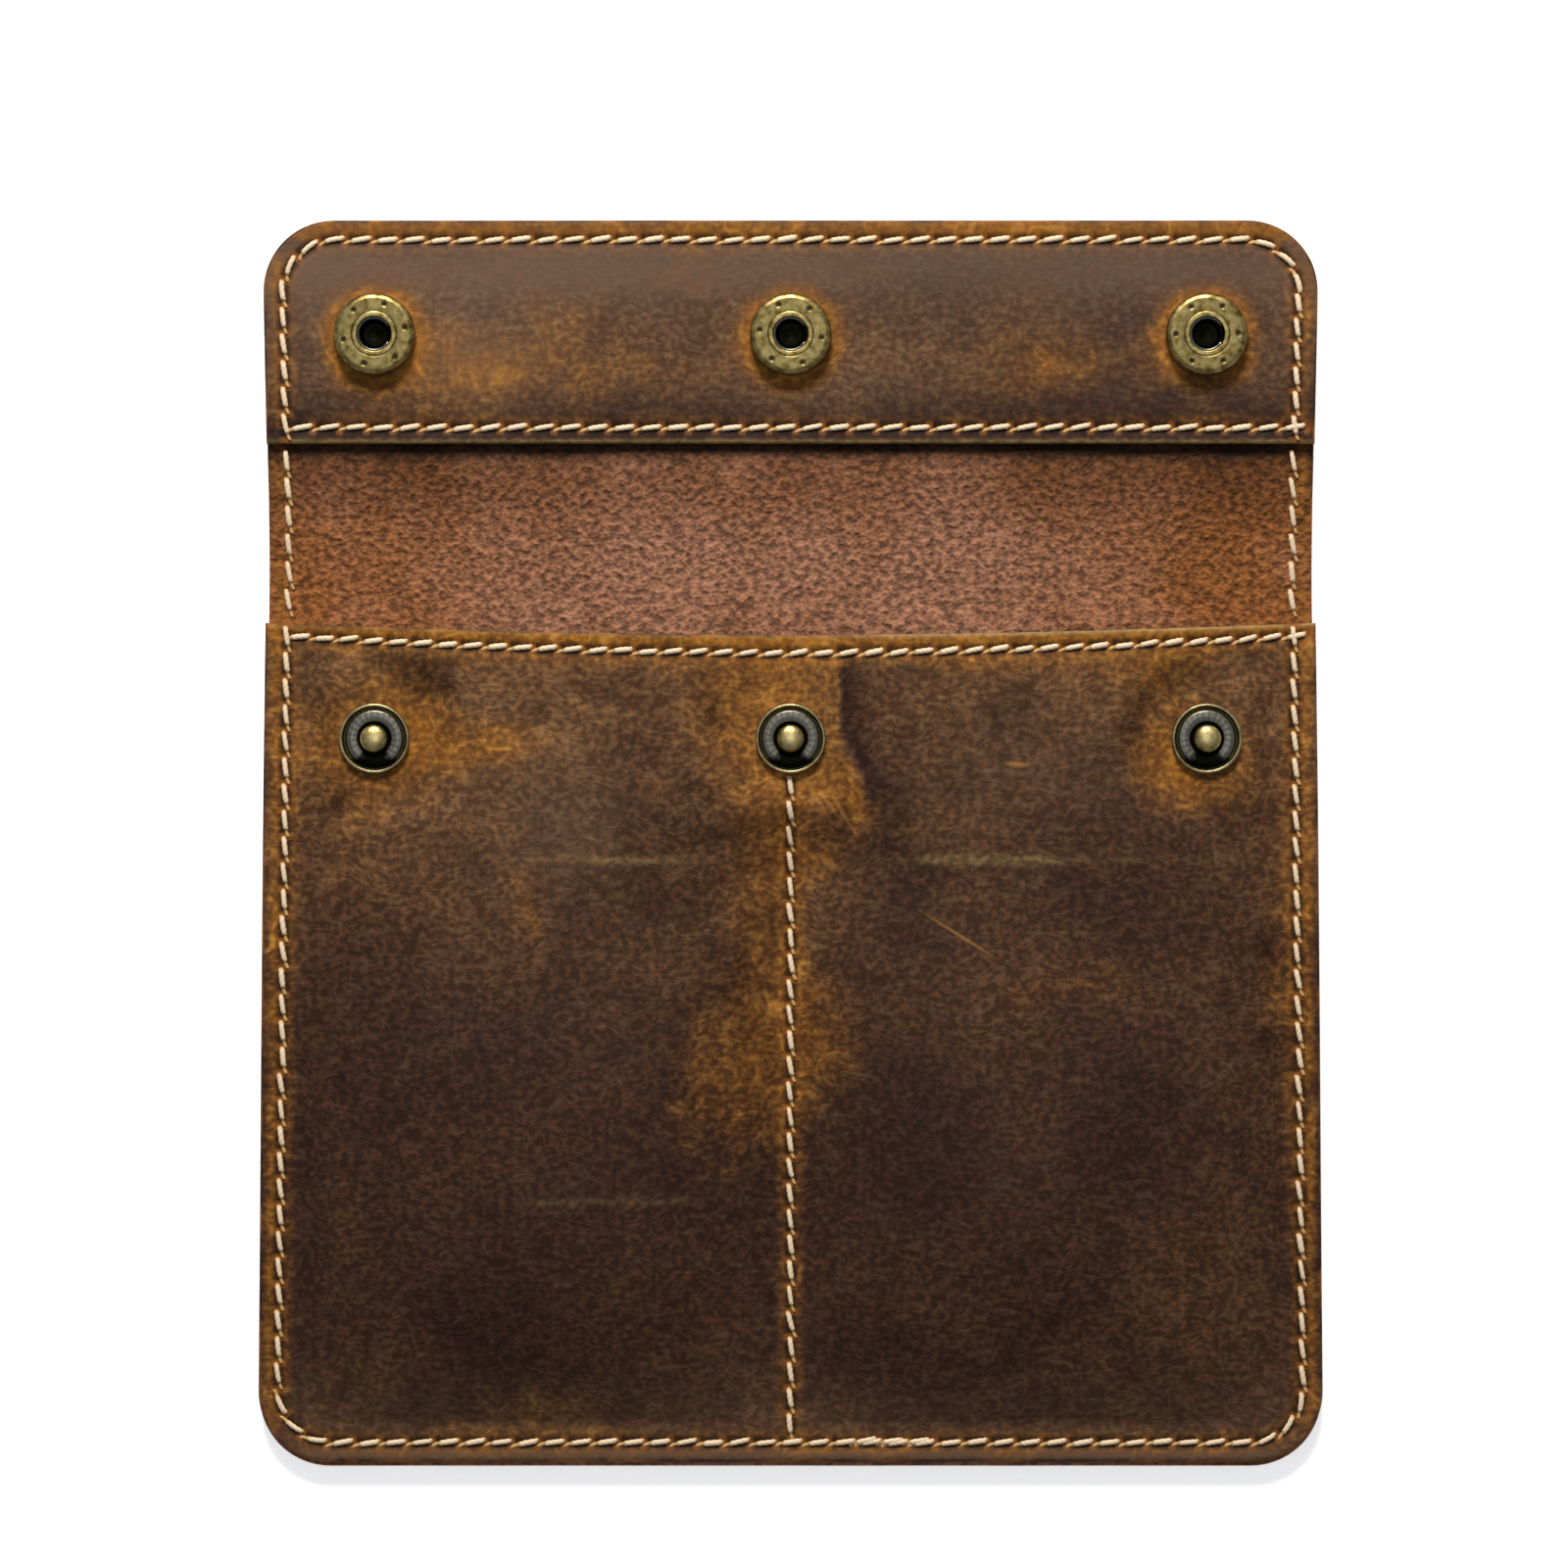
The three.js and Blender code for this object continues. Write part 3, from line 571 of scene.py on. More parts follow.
def waxed_pull_up_leather():
    """Full-grain cowhide filled with wax and oil, sanded to a short nap. Where it is bent, rubbed or pressed
    the wax moves and the tan shows through, so the eye sees dark brown clouds, tan halos and a fine
    speckled nap."""
    material, node, shader = start_material("waxed_pull_up_leather")
    place = node("Attribute", {}, out="Vector", attribute_name="cut")
    worn, deep, bloom, rub, rim, gap, phase = (
        node("Attribute", {}, out="Fac", attribute_name=kept)
        for kept in ("worn", "deep", "bloom", "rub", "rim", "gap", "phase"))

    # Wax clouds of 22 mm and blotches of 6 mm
    cloud = node("TexNoise", {"Vector": place, "Scale": 1 / 22, "Detail": 3.0, "Roughness": 0.6})
    blotch = node("TexNoise", {"Vector": place, "Scale": 1 / 6, "Detail": 2.0, "Distortion": 0.5})
    # Grain of 1 mm, and hairs of the nap, 2.6 by 0.6 mm, that cross each other
    grain = node("TexNoise", {"Vector": place, "Scale": 1 / 1.0, "Detail": 1.2})
    swirl = node("TexNoise", {"Vector": place, "Scale": 1 / 6, "Detail": 1.0}, out="Color")
    swirl = node("VectorMath", {0: swirl, 1: (0.5, 0.5, 0.5)}, operation="SUBTRACT")
    pushed = node("VectorMath", {0: swirl, 1: (6.0, 6.0, 6.0), 2: place}, operation="MULTIPLY_ADD")
    hairs = []
    for turn in (0.85, -0.75):
        combed = node("Mapping",
                      {"Vector": pushed, "Rotation": (0, 0, turn), "Scale": (1 / 2.6, 1 / 0.6, 1.0)})
        hairs.append(node("TexNoise", {"Vector": combed, "Scale": 1.0, "Detail": 0.5}))
    nap = node("Math", {0: hairs[0], 1: hairs[1]}, operation="MAXIMUM")
    nap = node("MapRange", {"Value": nap, "From Min": 0.5, "From Max": 0.8})

    tone = node("Math", {0: cloud, 1: 2.0, 2: -1.4}, operation="MULTIPLY_ADD")
    tone = node("Math", {0: blotch, 1: 1.8, 2: tone}, operation="MULTIPLY_ADD")
    colour = node("Mix", {0: tone, 6: linear("#402817"), 7: linear("#6b4a2f")}, **AS_COLOUR)
    # Pale bloom of wax, and a painted highlight along the rounded bottom edge of the pocket
    colour = node("Mix", {0: bloom, 6: colour, 7: linear("#6f5645")}, **AS_COLOUR)
    # Dark wax, and painted shade: towards the bottom of the pocket, in the fold by the middle stud, along the
    # hem and below the sockets
    colour = node("Mix", {0: deep, 6: colour, 7: linear("#2a1813")}, **AS_COLOUR)
    # Tan where the wax has moved: the wear of the piece, broken up a little by blotches and nap
    broken = node("Math", {0: blotch, 1: 1.3, 2: 0.3}, operation="MULTIPLY_ADD")
    broken = node("Math", {0: nap, 1: 0.15, 2: broken}, operation="MULTIPLY_ADD")
    pulled = node("Math", {0: worn, 1: broken}, operation="MULTIPLY")
    pulled = node("MapRange", {"Value": pulled, "From Min": 0.1, "From Max": 1.0, "To Max": 0.92})
    tan = node("Mix", {0: grain, 6: linear("#6c3b0e"), 7: linear("#a2691f")}, **AS_COLOUR)
    colour = node("Mix", {0: pulled, 6: colour, 7: tan}, **AS_COLOUR)
    # Crumple lines, about 5 mm apart, in the tan places
    crumple = node("TexVoronoi", {"Vector": pushed, "Scale": 1 / 5}, feature="DISTANCE_TO_EDGE")
    crumple = node("MapRange", {"Value": crumple, "From Min": 0.09, "From Max": 0.02})
    crumple = node("Math", {0: crumple, 1: pulled}, operation="MULTIPLY")
    torn = node("MapRange", {"Value": blotch, "From Min": 0.42, "From Max": 0.62})
    crumple = node("Math", {0: crumple, 1: torn}, operation="MULTIPLY")
    colour = node("Mix", {0: crumple, 6: colour, 7: linear("#a87032")}, **AS_COLOUR)
    # Speckle of grain with pale hairs across it, filled where wax has bloomed or moved
    speckle = node("Math", {0: grain, 1: 3.0, 2: -0.66}, operation="MULTIPLY_ADD")
    speckle = node("Math", {0: nap, 1: 0.9, 2: speckle}, operation="MULTIPLY_ADD")
    speckle = node("Math", {0: speckle, 1: 0.66}, operation="MAXIMUM")
    filled_in = node("Math", {0: pulled, 1: 0.62, 2: bloom}, operation="MULTIPLY_ADD")
    speckle = node("Mix", {0: filled_in, 2: speckle, 3: 1.0})
    colour = node("VectorMath", {0: colour, "Scale": speckle}, operation="SCALE")
    # Hairs greyer than the skin under them
    colour = node("Mix", {0: nap, 6: colour, 7: linear("#e8ffff")}, **AS_COLOUR, blend_type="MULTIPLY")
    # Cut edge, burnished dark in patches
    patch = node("MapRange", {"Value": blotch, "From Min": 0.42, "From Max": 0.64})
    cut = node("Mix", {0: patch, 6: linear("#2c1810"), 7: linear("#80522a")}, **AS_COLOUR)
    colour = node("Mix", {0: rim, 6: colour, 7: cut}, **AS_COLOUR)
    # Pale lines where an edge has pressed, a pale line along the mouth, and a painted highlight along the lit
    # lower edge of the facing
    pressed = node("MapRange", {"Value": speckle, "From Min": 0.7, "From Max": 1.5,
                                "To Min": 0.6, "To Max": 1.4})
    pressed = node("Math", {0: pressed, 1: rub}, operation="MULTIPLY")
    colour = node("Mix", {0: pressed, 6: colour, 7: linear("#9e8456")}, **AS_COLOUR)
    # Scratches on the front: thin, pale and tapering to both ends
    for middle, turn, long, wide, strength in scratches:
        laid = node("Mapping", {
            "Vector": place, "Location": (*middle, pocket_high[2]), "Rotation": (0, 0, math.radians(turn)),
            "Scale": (long, wide, belly_height)}, vector_type="TEXTURE")
        scratch = node("TexGradient", {"Vector": laid}, out="Fac", gradient_type="SPHERICAL")
        scratch = node("Math", {0: scratch, 1: strength}, operation="MULTIPLY")
        colour = node("Mix", {0: scratch, 6: colour, 7: linear("#b08040")}, **AS_COLOUR)
    # Seams: dark grime and painted shade along each stitch, tan leather drawn up between stitches, 0.7 mm to
    # either side
    whole = node("Math", {0: phase}, operation="ROUND")
    to_hole = node("Math", {0: phase, 1: whole}, operation="SUBTRACT")
    to_hole = node("Math", {0: to_hole}, operation="ABSOLUTE")
    at_hole = node("MapRange", {"Value": to_hole, "From Min": 0.7 / stitch_pitch,
                                "From Max": 0.35 / stitch_pitch})
    sewn = node("MapRange", {"Value": gap, "From Min": 1.35, "From Max": 0.6, "To Max": 0.8})
    seam = node("Mix", {0: at_hole, 6: linear("#1b0e08"), 7: linear("#7a4a20")}, **AS_COLOUR)
    colour = node("Mix", {0: sewn, 6: colour, 7: seam}, **AS_COLOUR)

    height = node("Math", {0: nap, 1: 0.25, 2: grain}, operation="MULTIPLY_ADD")
    bump = node("Bump", {"Height": height, "Strength": 0.5, "Distance": 0.14 * MM})
    rough = node("MapRange", {"Value": tone, "From Min": 0.2, "From Max": 0.8, "To Min": 0.6, "To Max": 0.76})
    fill(shader, {"Base Color": colour, "Roughness": rough, "Normal": bump,
                  "Specular IOR Level": 0.12, "IOR": 1.48})
    return material


def pebbled_hide():
    """The inner face of the same hide, tumbled until its grain stood up in pebbles and left without wax:
    a matt orange brown with pale flecks on the tops of the pebbles."""
    material, node, shader = start_material("pebbled_hide")
    place = node("Attribute", {}, out="Vector", attribute_name="cut")
    worn, bloom, deep = (node("Attribute", {}, out="Fac", attribute_name=kept)
                         for kept in ("worn", "bloom", "deep"))
    # Pebbles of 1 mm, pits 1.6 mm apart, and dye clouds of 16 mm
    cloud = node("TexNoise", {"Vector": place, "Scale": 1 / 16, "Detail": 3.0})
    pebble = node("TexNoise", {"Vector": place, "Scale": 1 / 1.0, "Detail": 1.0})
    pit = node("TexVoronoi", {"Vector": place, "Scale": 1 / 1.6})
    pit = node("MapRange", {"Value": pit, "From Min": 0.3, "From Max": 0.1})
    dull = node("Math", {0: cloud, 1: 1.6, 2: -0.8}, operation="MULTIPLY_ADD")
    dull = node("Math", {0: dull, 1: bloom}, operation="ADD", use_clamp=True)
    dye = node("Mix", {0: dull, 6: linear("#7c4c26"), 7: linear("#875e48")}, **AS_COLOUR)
    height = node("Math", {0: pit, 1: -0.07, 2: pebble}, operation="MULTIPLY_ADD")
    shade = node("MapRange", {"Value": height, "From Min": 0.33, "From Max": 0.7,
                              "To Min": 0.55, "To Max": 1.55})
    # Dye clouds, and painted shade that darkens the strip towards the hem of the facing and under it
    hidden = node("Math", {0: cloud, 1: 0.5, 2: 0.75}, operation="MULTIPLY_ADD")
    hidden = node("Math", {0: deep, 1: -0.88, 2: hidden}, operation="MULTIPLY_ADD")
    shade = node("Math", {0: shade, 1: hidden}, operation="MULTIPLY")
    colour = node("VectorMath", {0: dye, "Scale": shade}, operation="SCALE")
    # Tan and dark patches along the cut edge
    edge = node("TexNoise", {"Vector": place, "Scale": 1 / 1.8, "Detail": 2.0})
    edge = node("MapRange", {"Value": edge, "From Min": 0.38, "From Max": 0.62})
    edge = node("Mix", {0: edge, 6: linear("#41240f"), 7: linear("#9a6528")}, **AS_COLOUR)
    colour = node("Mix", {0: worn, 6: colour, 7: edge}, **AS_COLOUR)
    bump = node("Bump", {"Height": height, "Strength": 1.0, "Distance": 0.6 * MM})
    fill(shader, {"Base Color": colour, "Normal": bump, "Roughness": 0.8, "Specular IOR Level": 0.15})
    return material


def waxed_linen_thread():
    """Twisted linen drawn through wax: cream and slightly shiny on top, tan where it enters the leather."""
    material, node, shader = start_material("waxed_linen_thread")
    place = node("Attribute", {}, out="Vector", attribute_name="cut")
    tail, ply = (node("Attribute", {}, out="Fac", attribute_name=kept) for kept in ("tail", "ply"))
    # Fibres of 0.15 mm
    fibre = node("TexNoise", {"Vector": place, "Scale": 1 / 0.15, "Detail": 2.0})
    colour = node("Mix", {0: fibre, 6: linear("#c4a880"), 7: linear("#efdec4")}, **AS_COLOUR)
    ends = node("MapRange", {"Value": tail, "From Min": 0.15, "From Max": 0.65})
    colour = node("Mix", {0: ends, 6: colour, 7: linear("#b8925a")}, **AS_COLOUR)
    # Painted shade in the grooves between the two plies
    groove = node("MapRange", {"Value": ply, "From Min": -0.3, "From Max": -1.0, "To Max": 0.5})
    colour = node("Mix", {0: groove, 6: colour, 7: linear("#b2926a")}, **AS_COLOUR)
    bump = node("Bump", {"Height": fibre, "Strength": 0.4, "Distance": 0.04 * MM})
    fill(shader, {"Base Color": colour, "Normal": bump, "Roughness": 0.6})
    return material


def antique_brass():
    """Stamped brass, darkened in a bath and rubbed bright again on its high places, where the plating may be
    worn to the grey metal under it."""
    material, node, shader = start_material("antique_brass")
    place = node("Attribute", {}, out="Vector", attribute_name="cut")
    tarnish_and_shade, bare = (node("Attribute", {}, out="Fac", attribute_name=kept) for kept in ("tarnish_and_shade", "bare"))
    # Stains of 1.1 mm and rubbing marks of 0.3 mm
    stain = node("TexNoise", {"Vector": place, "Scale": 1 / 1.1, "Detail": 4.0})
    rub = node("TexNoise", {"Vector": place, "Scale": 1 / 0.3, "Detail": 2.0})
    patch = node("MapRange", {"Value": stain, "From Min": 0.32, "From Max": 0.68})
    colour = node("Mix", {0: patch, 6: linear("#6a5826"), 7: linear("#c4b074")}, **AS_COLOUR)
    polish = node("MapRange", {"Value": tarnish_and_shade, "From Min": 0.0, "From Max": -0.2})
    colour = node("Mix", {0: polish, 6: colour, 7: linear("#e6d294")}, **AS_COLOUR)
    colour = node("Mix", {0: bare, 6: colour, 7: linear("#807e76")}, **AS_COLOUR)
    # Tarnish darkens the brass; in the hole of the socket, round the neck of the knob and at the lower side
    # of the stud's dish this darkening is painted shade as well
    dark = node("Math", {0: stain, 1: 0.5, 2: -0.25}, operation="MULTIPLY_ADD")
    dark = node("Math", {0: tarnish_and_shade, 1: dark}, operation="ADD", use_clamp=True)
    colour = node("Mix", {0: dark, 6: colour, 7: linear("#12130c")}, **AS_COLOUR)
    rough = node("MapRange", {"Value": rub, "From Min": 0.3, "From Max": 0.7, "To Min": 0.28, "To Max": 0.46})
    bump = node("Bump", {"Height": rub, "Strength": 0.25, "Distance": 0.03 * MM})
    fill(shader, {"Base Color": colour, "Roughness": rough, "Normal": bump, "Metallic": 1.0})
    return material


def spring_steel():
    """Drawn wire, left bright, with fine die lines."""
    material, node, shader = start_material("spring_steel")
    place = node("Attribute", {}, out="Vector", attribute_name="cut")
    line = node("TexNoise", {"Vector": place, "Scale": 1 / 0.2, "Detail": 2.0})
    colour = node("Mix", {0: line, 6: linear("#3b3a37"), 7: linear("#77756f")}, **AS_COLOUR)
    rough = node("MapRange", {"Value": line, "To Min": 0.22, "To Max": 0.4})
    fill(shader, {"Base Color": colour, "Roughness": rough, "Metallic": 1.0})
    return material


def white_card():
    """Matt white card under the pouch, with its faint tooth, lit a little from below."""
    material, node, shader = start_material("white_card")
    place = node("TexCoord", {}, out="Object")
    # Tooth of 1 mm
    tooth = node("TexNoise", {"Vector": place, "Scale": 1 / MM, "Detail": 2.0})
    colour = node("Mix", {0: tooth, 6: linear("#f3f4f6"), 7: linear("#fbfbfc")}, **AS_COLOUR)
    fill(shader, {"Base Color": colour, "Roughness": 0.9, "Emission Color": linear("#ffffff"),
                  "Emission Strength": 0.55})
    return material


leather = waxed_pull_up_leather()
hide = pebbled_hide()
thread = waxed_linen_thread()
brass = antique_brass()
steel = spring_steel()


# Leather pieces
def dress_leather(sheet, inset, gap, phase, **fields):
    """Keeps on a sheet what its leather shows: cut edge, seams, wear, dark wax, painted shade and highlights
    and so on. A pair is for the top and the underside, and one field is for both."""
    rim = 1 - ease(0.1, edge_rounding, inset)
    for name, field in {"rim": rim, "gap": gap, "phase": phase, **fields}.items():
        top, under = field if isinstance(field, tuple) else (field, field)
        mark(sheet, name, np.concatenate([np.ravel(top), np.ravel(under)]))


def mottled_band(to_edge, x, y, seed):
    """Wear between a seam and the cut edge, in patches along it."""
    return np.exp(-((to_edge - 1.8) / 1.1) ** 2) * (0.6 + 0.4 * lie(x, y, 9, seed))


def make_front_pocket():
    columns = columns_of(fine_step, [
        divider_flat, land_reach, snap_x, *(beside_seam[4:]), *(crease_x + beside_mark)])
    by_mouth_seam = np.arange(mouth_row - mouth_seam_sag, mouth_row + 1, 0.3)
    rows = filled([
        *round_end(pocket_bottom, 1), *(rub_row + beside_mark), *(slot_rub_row + beside_mark), stud_y,
        *by_mouth_seam, *(mouth_ends - rim_lines)], fine_step)
    x, y = pocket_point(columns[None, :], rows[:, None])
    mouth_line = mouth_ends - mouth_dip * (1 - columns[None, :] ** 2)
    to_side = pocket_half_width(y) - np.abs(x)
    to_bottom = y - pocket_bottom
    to_mouth = mouth_line - y
    inset = np.minimum(corner_inset(to_side, to_bottom, corner_radius),
                       corner_inset(to_side, to_mouth, square_corner))
    gap, phase = nearest_seam(x, y, pocket_seams)
    top = pocket_face(x, y, gap, phase) - rounded_over(inset)
    under = pocket_seat + pocket_rise(x, y) + rounded_over(inset)
    sheet = leather_sheet("front_pocket_leather", x, y, top, under, (leather, hide, leather))

    right, sharp = crease(x, y)
    round_studs = [
        (-2, 18, 10, 13, 0, 0.68), (9, 8, 4, 6, 40, 0.6), (4, -2, 5, 4, 0, 0.3), (-62, 16, 10, 8, 0, 1.0),
        (-46, 15, 9, 3, 8, 0.5), (61, 13, 8, 7, 0, 1.0), (56, 27, 8, 5, 20, 0.3), (-12, 22, 6, 6, 0, 0.15)]
    beside_divider = [
        (-4, -8, 5, 14, 0, 0.32), (-4, -32, 8, 15, 0, 0.32), (6, -29, 6, 9, 0, 0.26),
        (-14, -36, 8, 16, 0, 0.18)]
    elsewhere = [
        (-40, -8, 4, 12, 8, 0.2), (43, -22, 17, 6, 12, 0.17), (-66, -2, 9, 14, 0, 0.12),
        (74, -20, 4, 24, 0, 0.2), (-30, 29, 40, 3, 0, 0.12), (40, 28, 30, 4, 0, 0.2),
        (-67, -58, 8, 16, 0, 0.12), (-39, -86, 14, 5, 0, 0.2)]
    worn = spots(x, y, round_studs + beside_divider + elsewhere)
    worn *= 1 - sharp * ease(-0.7, 0.4, right) * (1 - ease(8, 14, right))
    worn += 0.9 * np.exp(-(to_mouth / 1.7) ** 2) + 0.52 * mottled_band(to_side, x, y, 41)
    worn += 0.15 * mottled_band(to_bottom, x, y, 42) + 0.42 * np.exp(-(gap / 1.9) ** 2)
    # Painted shade and darker wax towards the bottom of the pocket, eased off again along the bottom edge
    shaded = 0.83 * (1 - ease(-46, 38, y)) - 0.1 * (1 - ease(-90, -50, y)) - 0.28 * (1 - ease(-93, -74, y))
    dark_clouds = [
        (-38, 23, 10, 6, 0, 0.14), (19, 21, 12, 13, 0, 0.36), (45, 5, 18, 8, 0, 0.36),
        (50, -8, 26, 10, 0, 0.33), (17, -8, 6, 9, 0, 0.3), (-64, -17, 8, 6, 0, 0.15),
        (20, -48, 9, 12, 0, 0.2), (50, -42, 8, 20, 0, 0.16), (-47, -70, 11, 9, 0, 0.25),
        (8, -80, 12, 8, 0, 0.24), (-70, 22, 10, 9, 0, 0.12), (-46, -27, 18, 10, 0, 0.12)]
    light_clouds = [
        (62, -66, 14, 13, 35, 0.22), (36, -43, 6, 8, 0, 0.08), (-48, -46, 12, 7, 0, 0.1),
        (74, -40, 7, 20, 0, 0.14)]
    deep = shaded + spots(x, y, dark_clouds) - spots(x, y, light_clouds)
    # Painted shade in the fold to the right of the middle stud
    deep += 0.7 * sharp * ease(-0.6, 0.6, right) * np.exp(-(np.maximum(0, right) / 4.2) ** 2)
    bloom = spots(x, y, [(-35, 2, 12, 12, 0, 0.3), (36, 10, 16, 10, 0, 0.2), (25, -47, 14, 8, 0, 0.15)])
    pale = 0.3 * (1 - ease(-90, -74, y)) + spots(x, y, [(-29, -53.5, 14, 1.4, 0, 0.2)])
    # Painted highlight: a pale line along the rounded bottom edge
    bloom += pale + 0.75 * np.exp(-((to_bottom - 1.2) / 0.6) ** 2)
    rub = np.zeros(x.shape)
    for row, half, start, end, strength in rub_marks:
        along = ease(start, start + 4, x) * (1 - ease(end - 4, end, x))
        rub += strength * along * np.exp(-((y - row) / half) ** 2)
    rub += 0.7 * np.exp(-(to_mouth / 0.5) ** 2) * (0.3 + 0.7 * ease(0, 20, x))
    dress_leather(sheet, inset, gap, phase, worn=np.clip(worn, 0, 1.2), deep=np.clip(deep, 0, 0.95),
                  bloom=bloom, rub=rub)
    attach(sheet, "pouch")
    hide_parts("front_pocket")


def make_flap_facing():
    columns = columns_of(fine_step, [snap_x])
    rows = filled([
        *(facing_edge + rim_lines), *(hem_row + beside_seam), socket_y, *round_end(top_edge, -1)], fine_step)
    y = np.repeat(rows[:, None], len(columns), 1)
    x = columns[None, :] * (half_width(y) - round_off(top_edge - y))
    to_side = half_width(y) - np.abs(x)
    to_top = top_edge - y
    to_hem = y - facing_edge
    inset = np.minimum(corner_inset(to_side, to_top, corner_radius),
                       corner_inset(to_side, to_hem, square_corner))
    gap, phase = nearest_seam(x, y, facing_seams)
    top = facing_face(x, y, gap, phase) - rounded_over(inset)
    under = facing_seat + rounded_over(inset)
    sheet = leather_sheet("flap_facing_leather", x, y, top, under, (leather, hide, leather))
    to_socket = np.min([np.hypot(x - column, y - socket_y + 0.6) for column in snap_columns.values()], axis=0)
    worn = 0.6 * np.exp(-((to_socket - 6.6) / 1.5) ** 2) + 0.22 * np.exp(-(to_socket / 11) ** 2)
    worn += spots(x, y, [
        (-48, 72, 14, 6, 8, 0.4), (-24, 71, 14, 5, 0, 0.2), (-28, 82, 20, 6, 20, 0.15),
        (36, 73, 16, 6, 0, 0.25), (40, 74, 5, 3, 0, 0.25)])
    worn += 0.64 * (1 - ease(2.2, 3.6, to_top)) + 0.4 * mottled_band(to_side, x, y, 43)
    worn += 0.3 * np.exp(-(gap / 1.7) ** 2)
    worn *= ease(1.4, 3.0, to_hem)
    # Dark wax, a little darker towards the right, and painted shade over the band along the hem
    deep = 0.24 + 0.1 * ease(-20, 60, x) + 0.3 * (1 - ease(1.5, 3.4, to_hem))
    deep += 0.5 * (1 - ease(3, 12, to_hem))
    deep += spots(x, y, [
        (-49, 72, 10, 9, 0, -0.42), (6, 70, 14, 6, 0, -0.28), (-12, 79, 6, 6, 0, 0.15),
        (52, 72, 9, 9, 0, 0.15), (24, 84, 16, 5, 0, 0.15), (-26, 72, 14, 7, 0, 0.14),
        (34, 72, 9, 7, 0, 0.2)])
    # Painted highlight: a pale line along the lit lower edge of the facing
    rub = 0.55 * np.exp(-(to_hem / 0.55) ** 2)
    # Painted shadow below each socket
    deep += spots(x, y, [(column, socket_y - 6.6, 5, 2, 0, 0.5) for column in snap_columns.values()])
    bloom = 0.25 + 0.5 * np.exp(-((to_top - 7) / 5) ** 2) + spots(x, y, [
        (-74, 84, 10, 10, 0, 0.25), (-30, 86, 30, 5, 0, 0.2), (50, 85, 20, 5, 0, 0.1),
        (-48, 75, 10, 6, 0, 0.3)])
    dress_leather(sheet, inset, gap, phase, worn=np.clip(worn, 0, 1.2), deep=np.clip(deep, 0, 0.95),
                  bloom=bloom, rub=rub)
    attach(sheet, "flap")
    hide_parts("flap_facing")


def make_hide():
    """The back hide in two lengths that meet in the middle of the spine, one crease on each."""
    columns = columns_of(2.2, [*(beside_seam[4:]), snap_x])
    low_rows = np.concatenate([
        filled([*round_end(bottom_edge, 1), mouth_ends - 6], 2.5),
        filled([mouth_ends - 6, lower_crease, mid_spine], 0.9)[1:]])
    high_rows = np.concatenate([
        filled([mid_spine, upper_crease, *(hem_row + beside_seam), hem_row + 4], 0.9)[:-1],
        filled([hem_row + 4, *round_end(top_edge, -1)], 2.0)])
    lengths = {
        "back_hide": (low_rows, back_seams, strip_seams["low"], bottom_edge, -1),
        "flap_hide": (high_rows, flap_seams, strip_seams["high"], top_edge, 0)}
    for name, (rows, seams, strip, end, joined_row) in lengths.items():
        y = np.repeat(rows[:, None], len(columns), 1)
        to_end = np.abs(end - y)
        x = columns[None, :] * (half_width(y) - round_off(to_end))
        inset = corner_inset(half_width(y) - np.abs(x), to_end, corner_radius)
        gap, phase = nearest_seam(x, y, seams)
        strip_gap, strip_phase = nearest_seam(x, y, strip)
        top = strip_face(x, y, strip_gap, strip_phase) - rounded_over(inset)
        under = back_face(x, y, gap, phase) + rounded_over(inset)
        sheet = leather_sheet(name, x, y, top, under, (hide, leather, leather), joined_row)
        worn = mottled_band(inset, x, y, 44)
        worn_out = worn + 0.4 * np.exp(-(gap / 2) ** 2) + spots(x, y, [
            (-30, -50, 30, 14, 25, 0.4), (35, -10, 26, 10, -30, 0.4), (20, 75, 40, 9, 10, 0.4),
            (-40, 20, 20, 8, 60, 0.3)])
        worn_out += (0.6 * np.exp(-((y - lower_crease) / 3) ** 2)
                     + 0.6 * np.exp(-((y - upper_crease) / 3) ** 2))
        # Painted shadow under the hem of the facing, and painted shade darkening the strip towards the hem,
        # most at the sides
        under_hem = np.maximum(0, facing_edge - y)
        deep = np.exp(-(under_hem / 1.9) ** 2) + 0.33 * ease(45, 56, y) * (1 + 0.8 * ease(20, 70, np.abs(x)))
        deep = (np.minimum(deep, 1), np.full(x.shape, 0.25))
        bloom = ease(4, 50, half_width(y) - np.abs(x)) * mix(1, 0.5, ease(42, 56, y))
        dress_leather(sheet, inset, (strip_gap, gap), (strip_phase, phase), worn=(worn, worn_out), deep=deep,
                      bloom=(bloom, 0 * bloom))
    back, flap = bpy.data.objects["back_hide"], bpy.data.objects["flap_hide"]
    bend(back)
    bend(flap)
    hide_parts("back_panel", "spine_strip")
    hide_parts("flap_panel")


def bend(piece):
    """Bakes the placement of the piece into its points; the piece is not folded here."""
    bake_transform(piece)


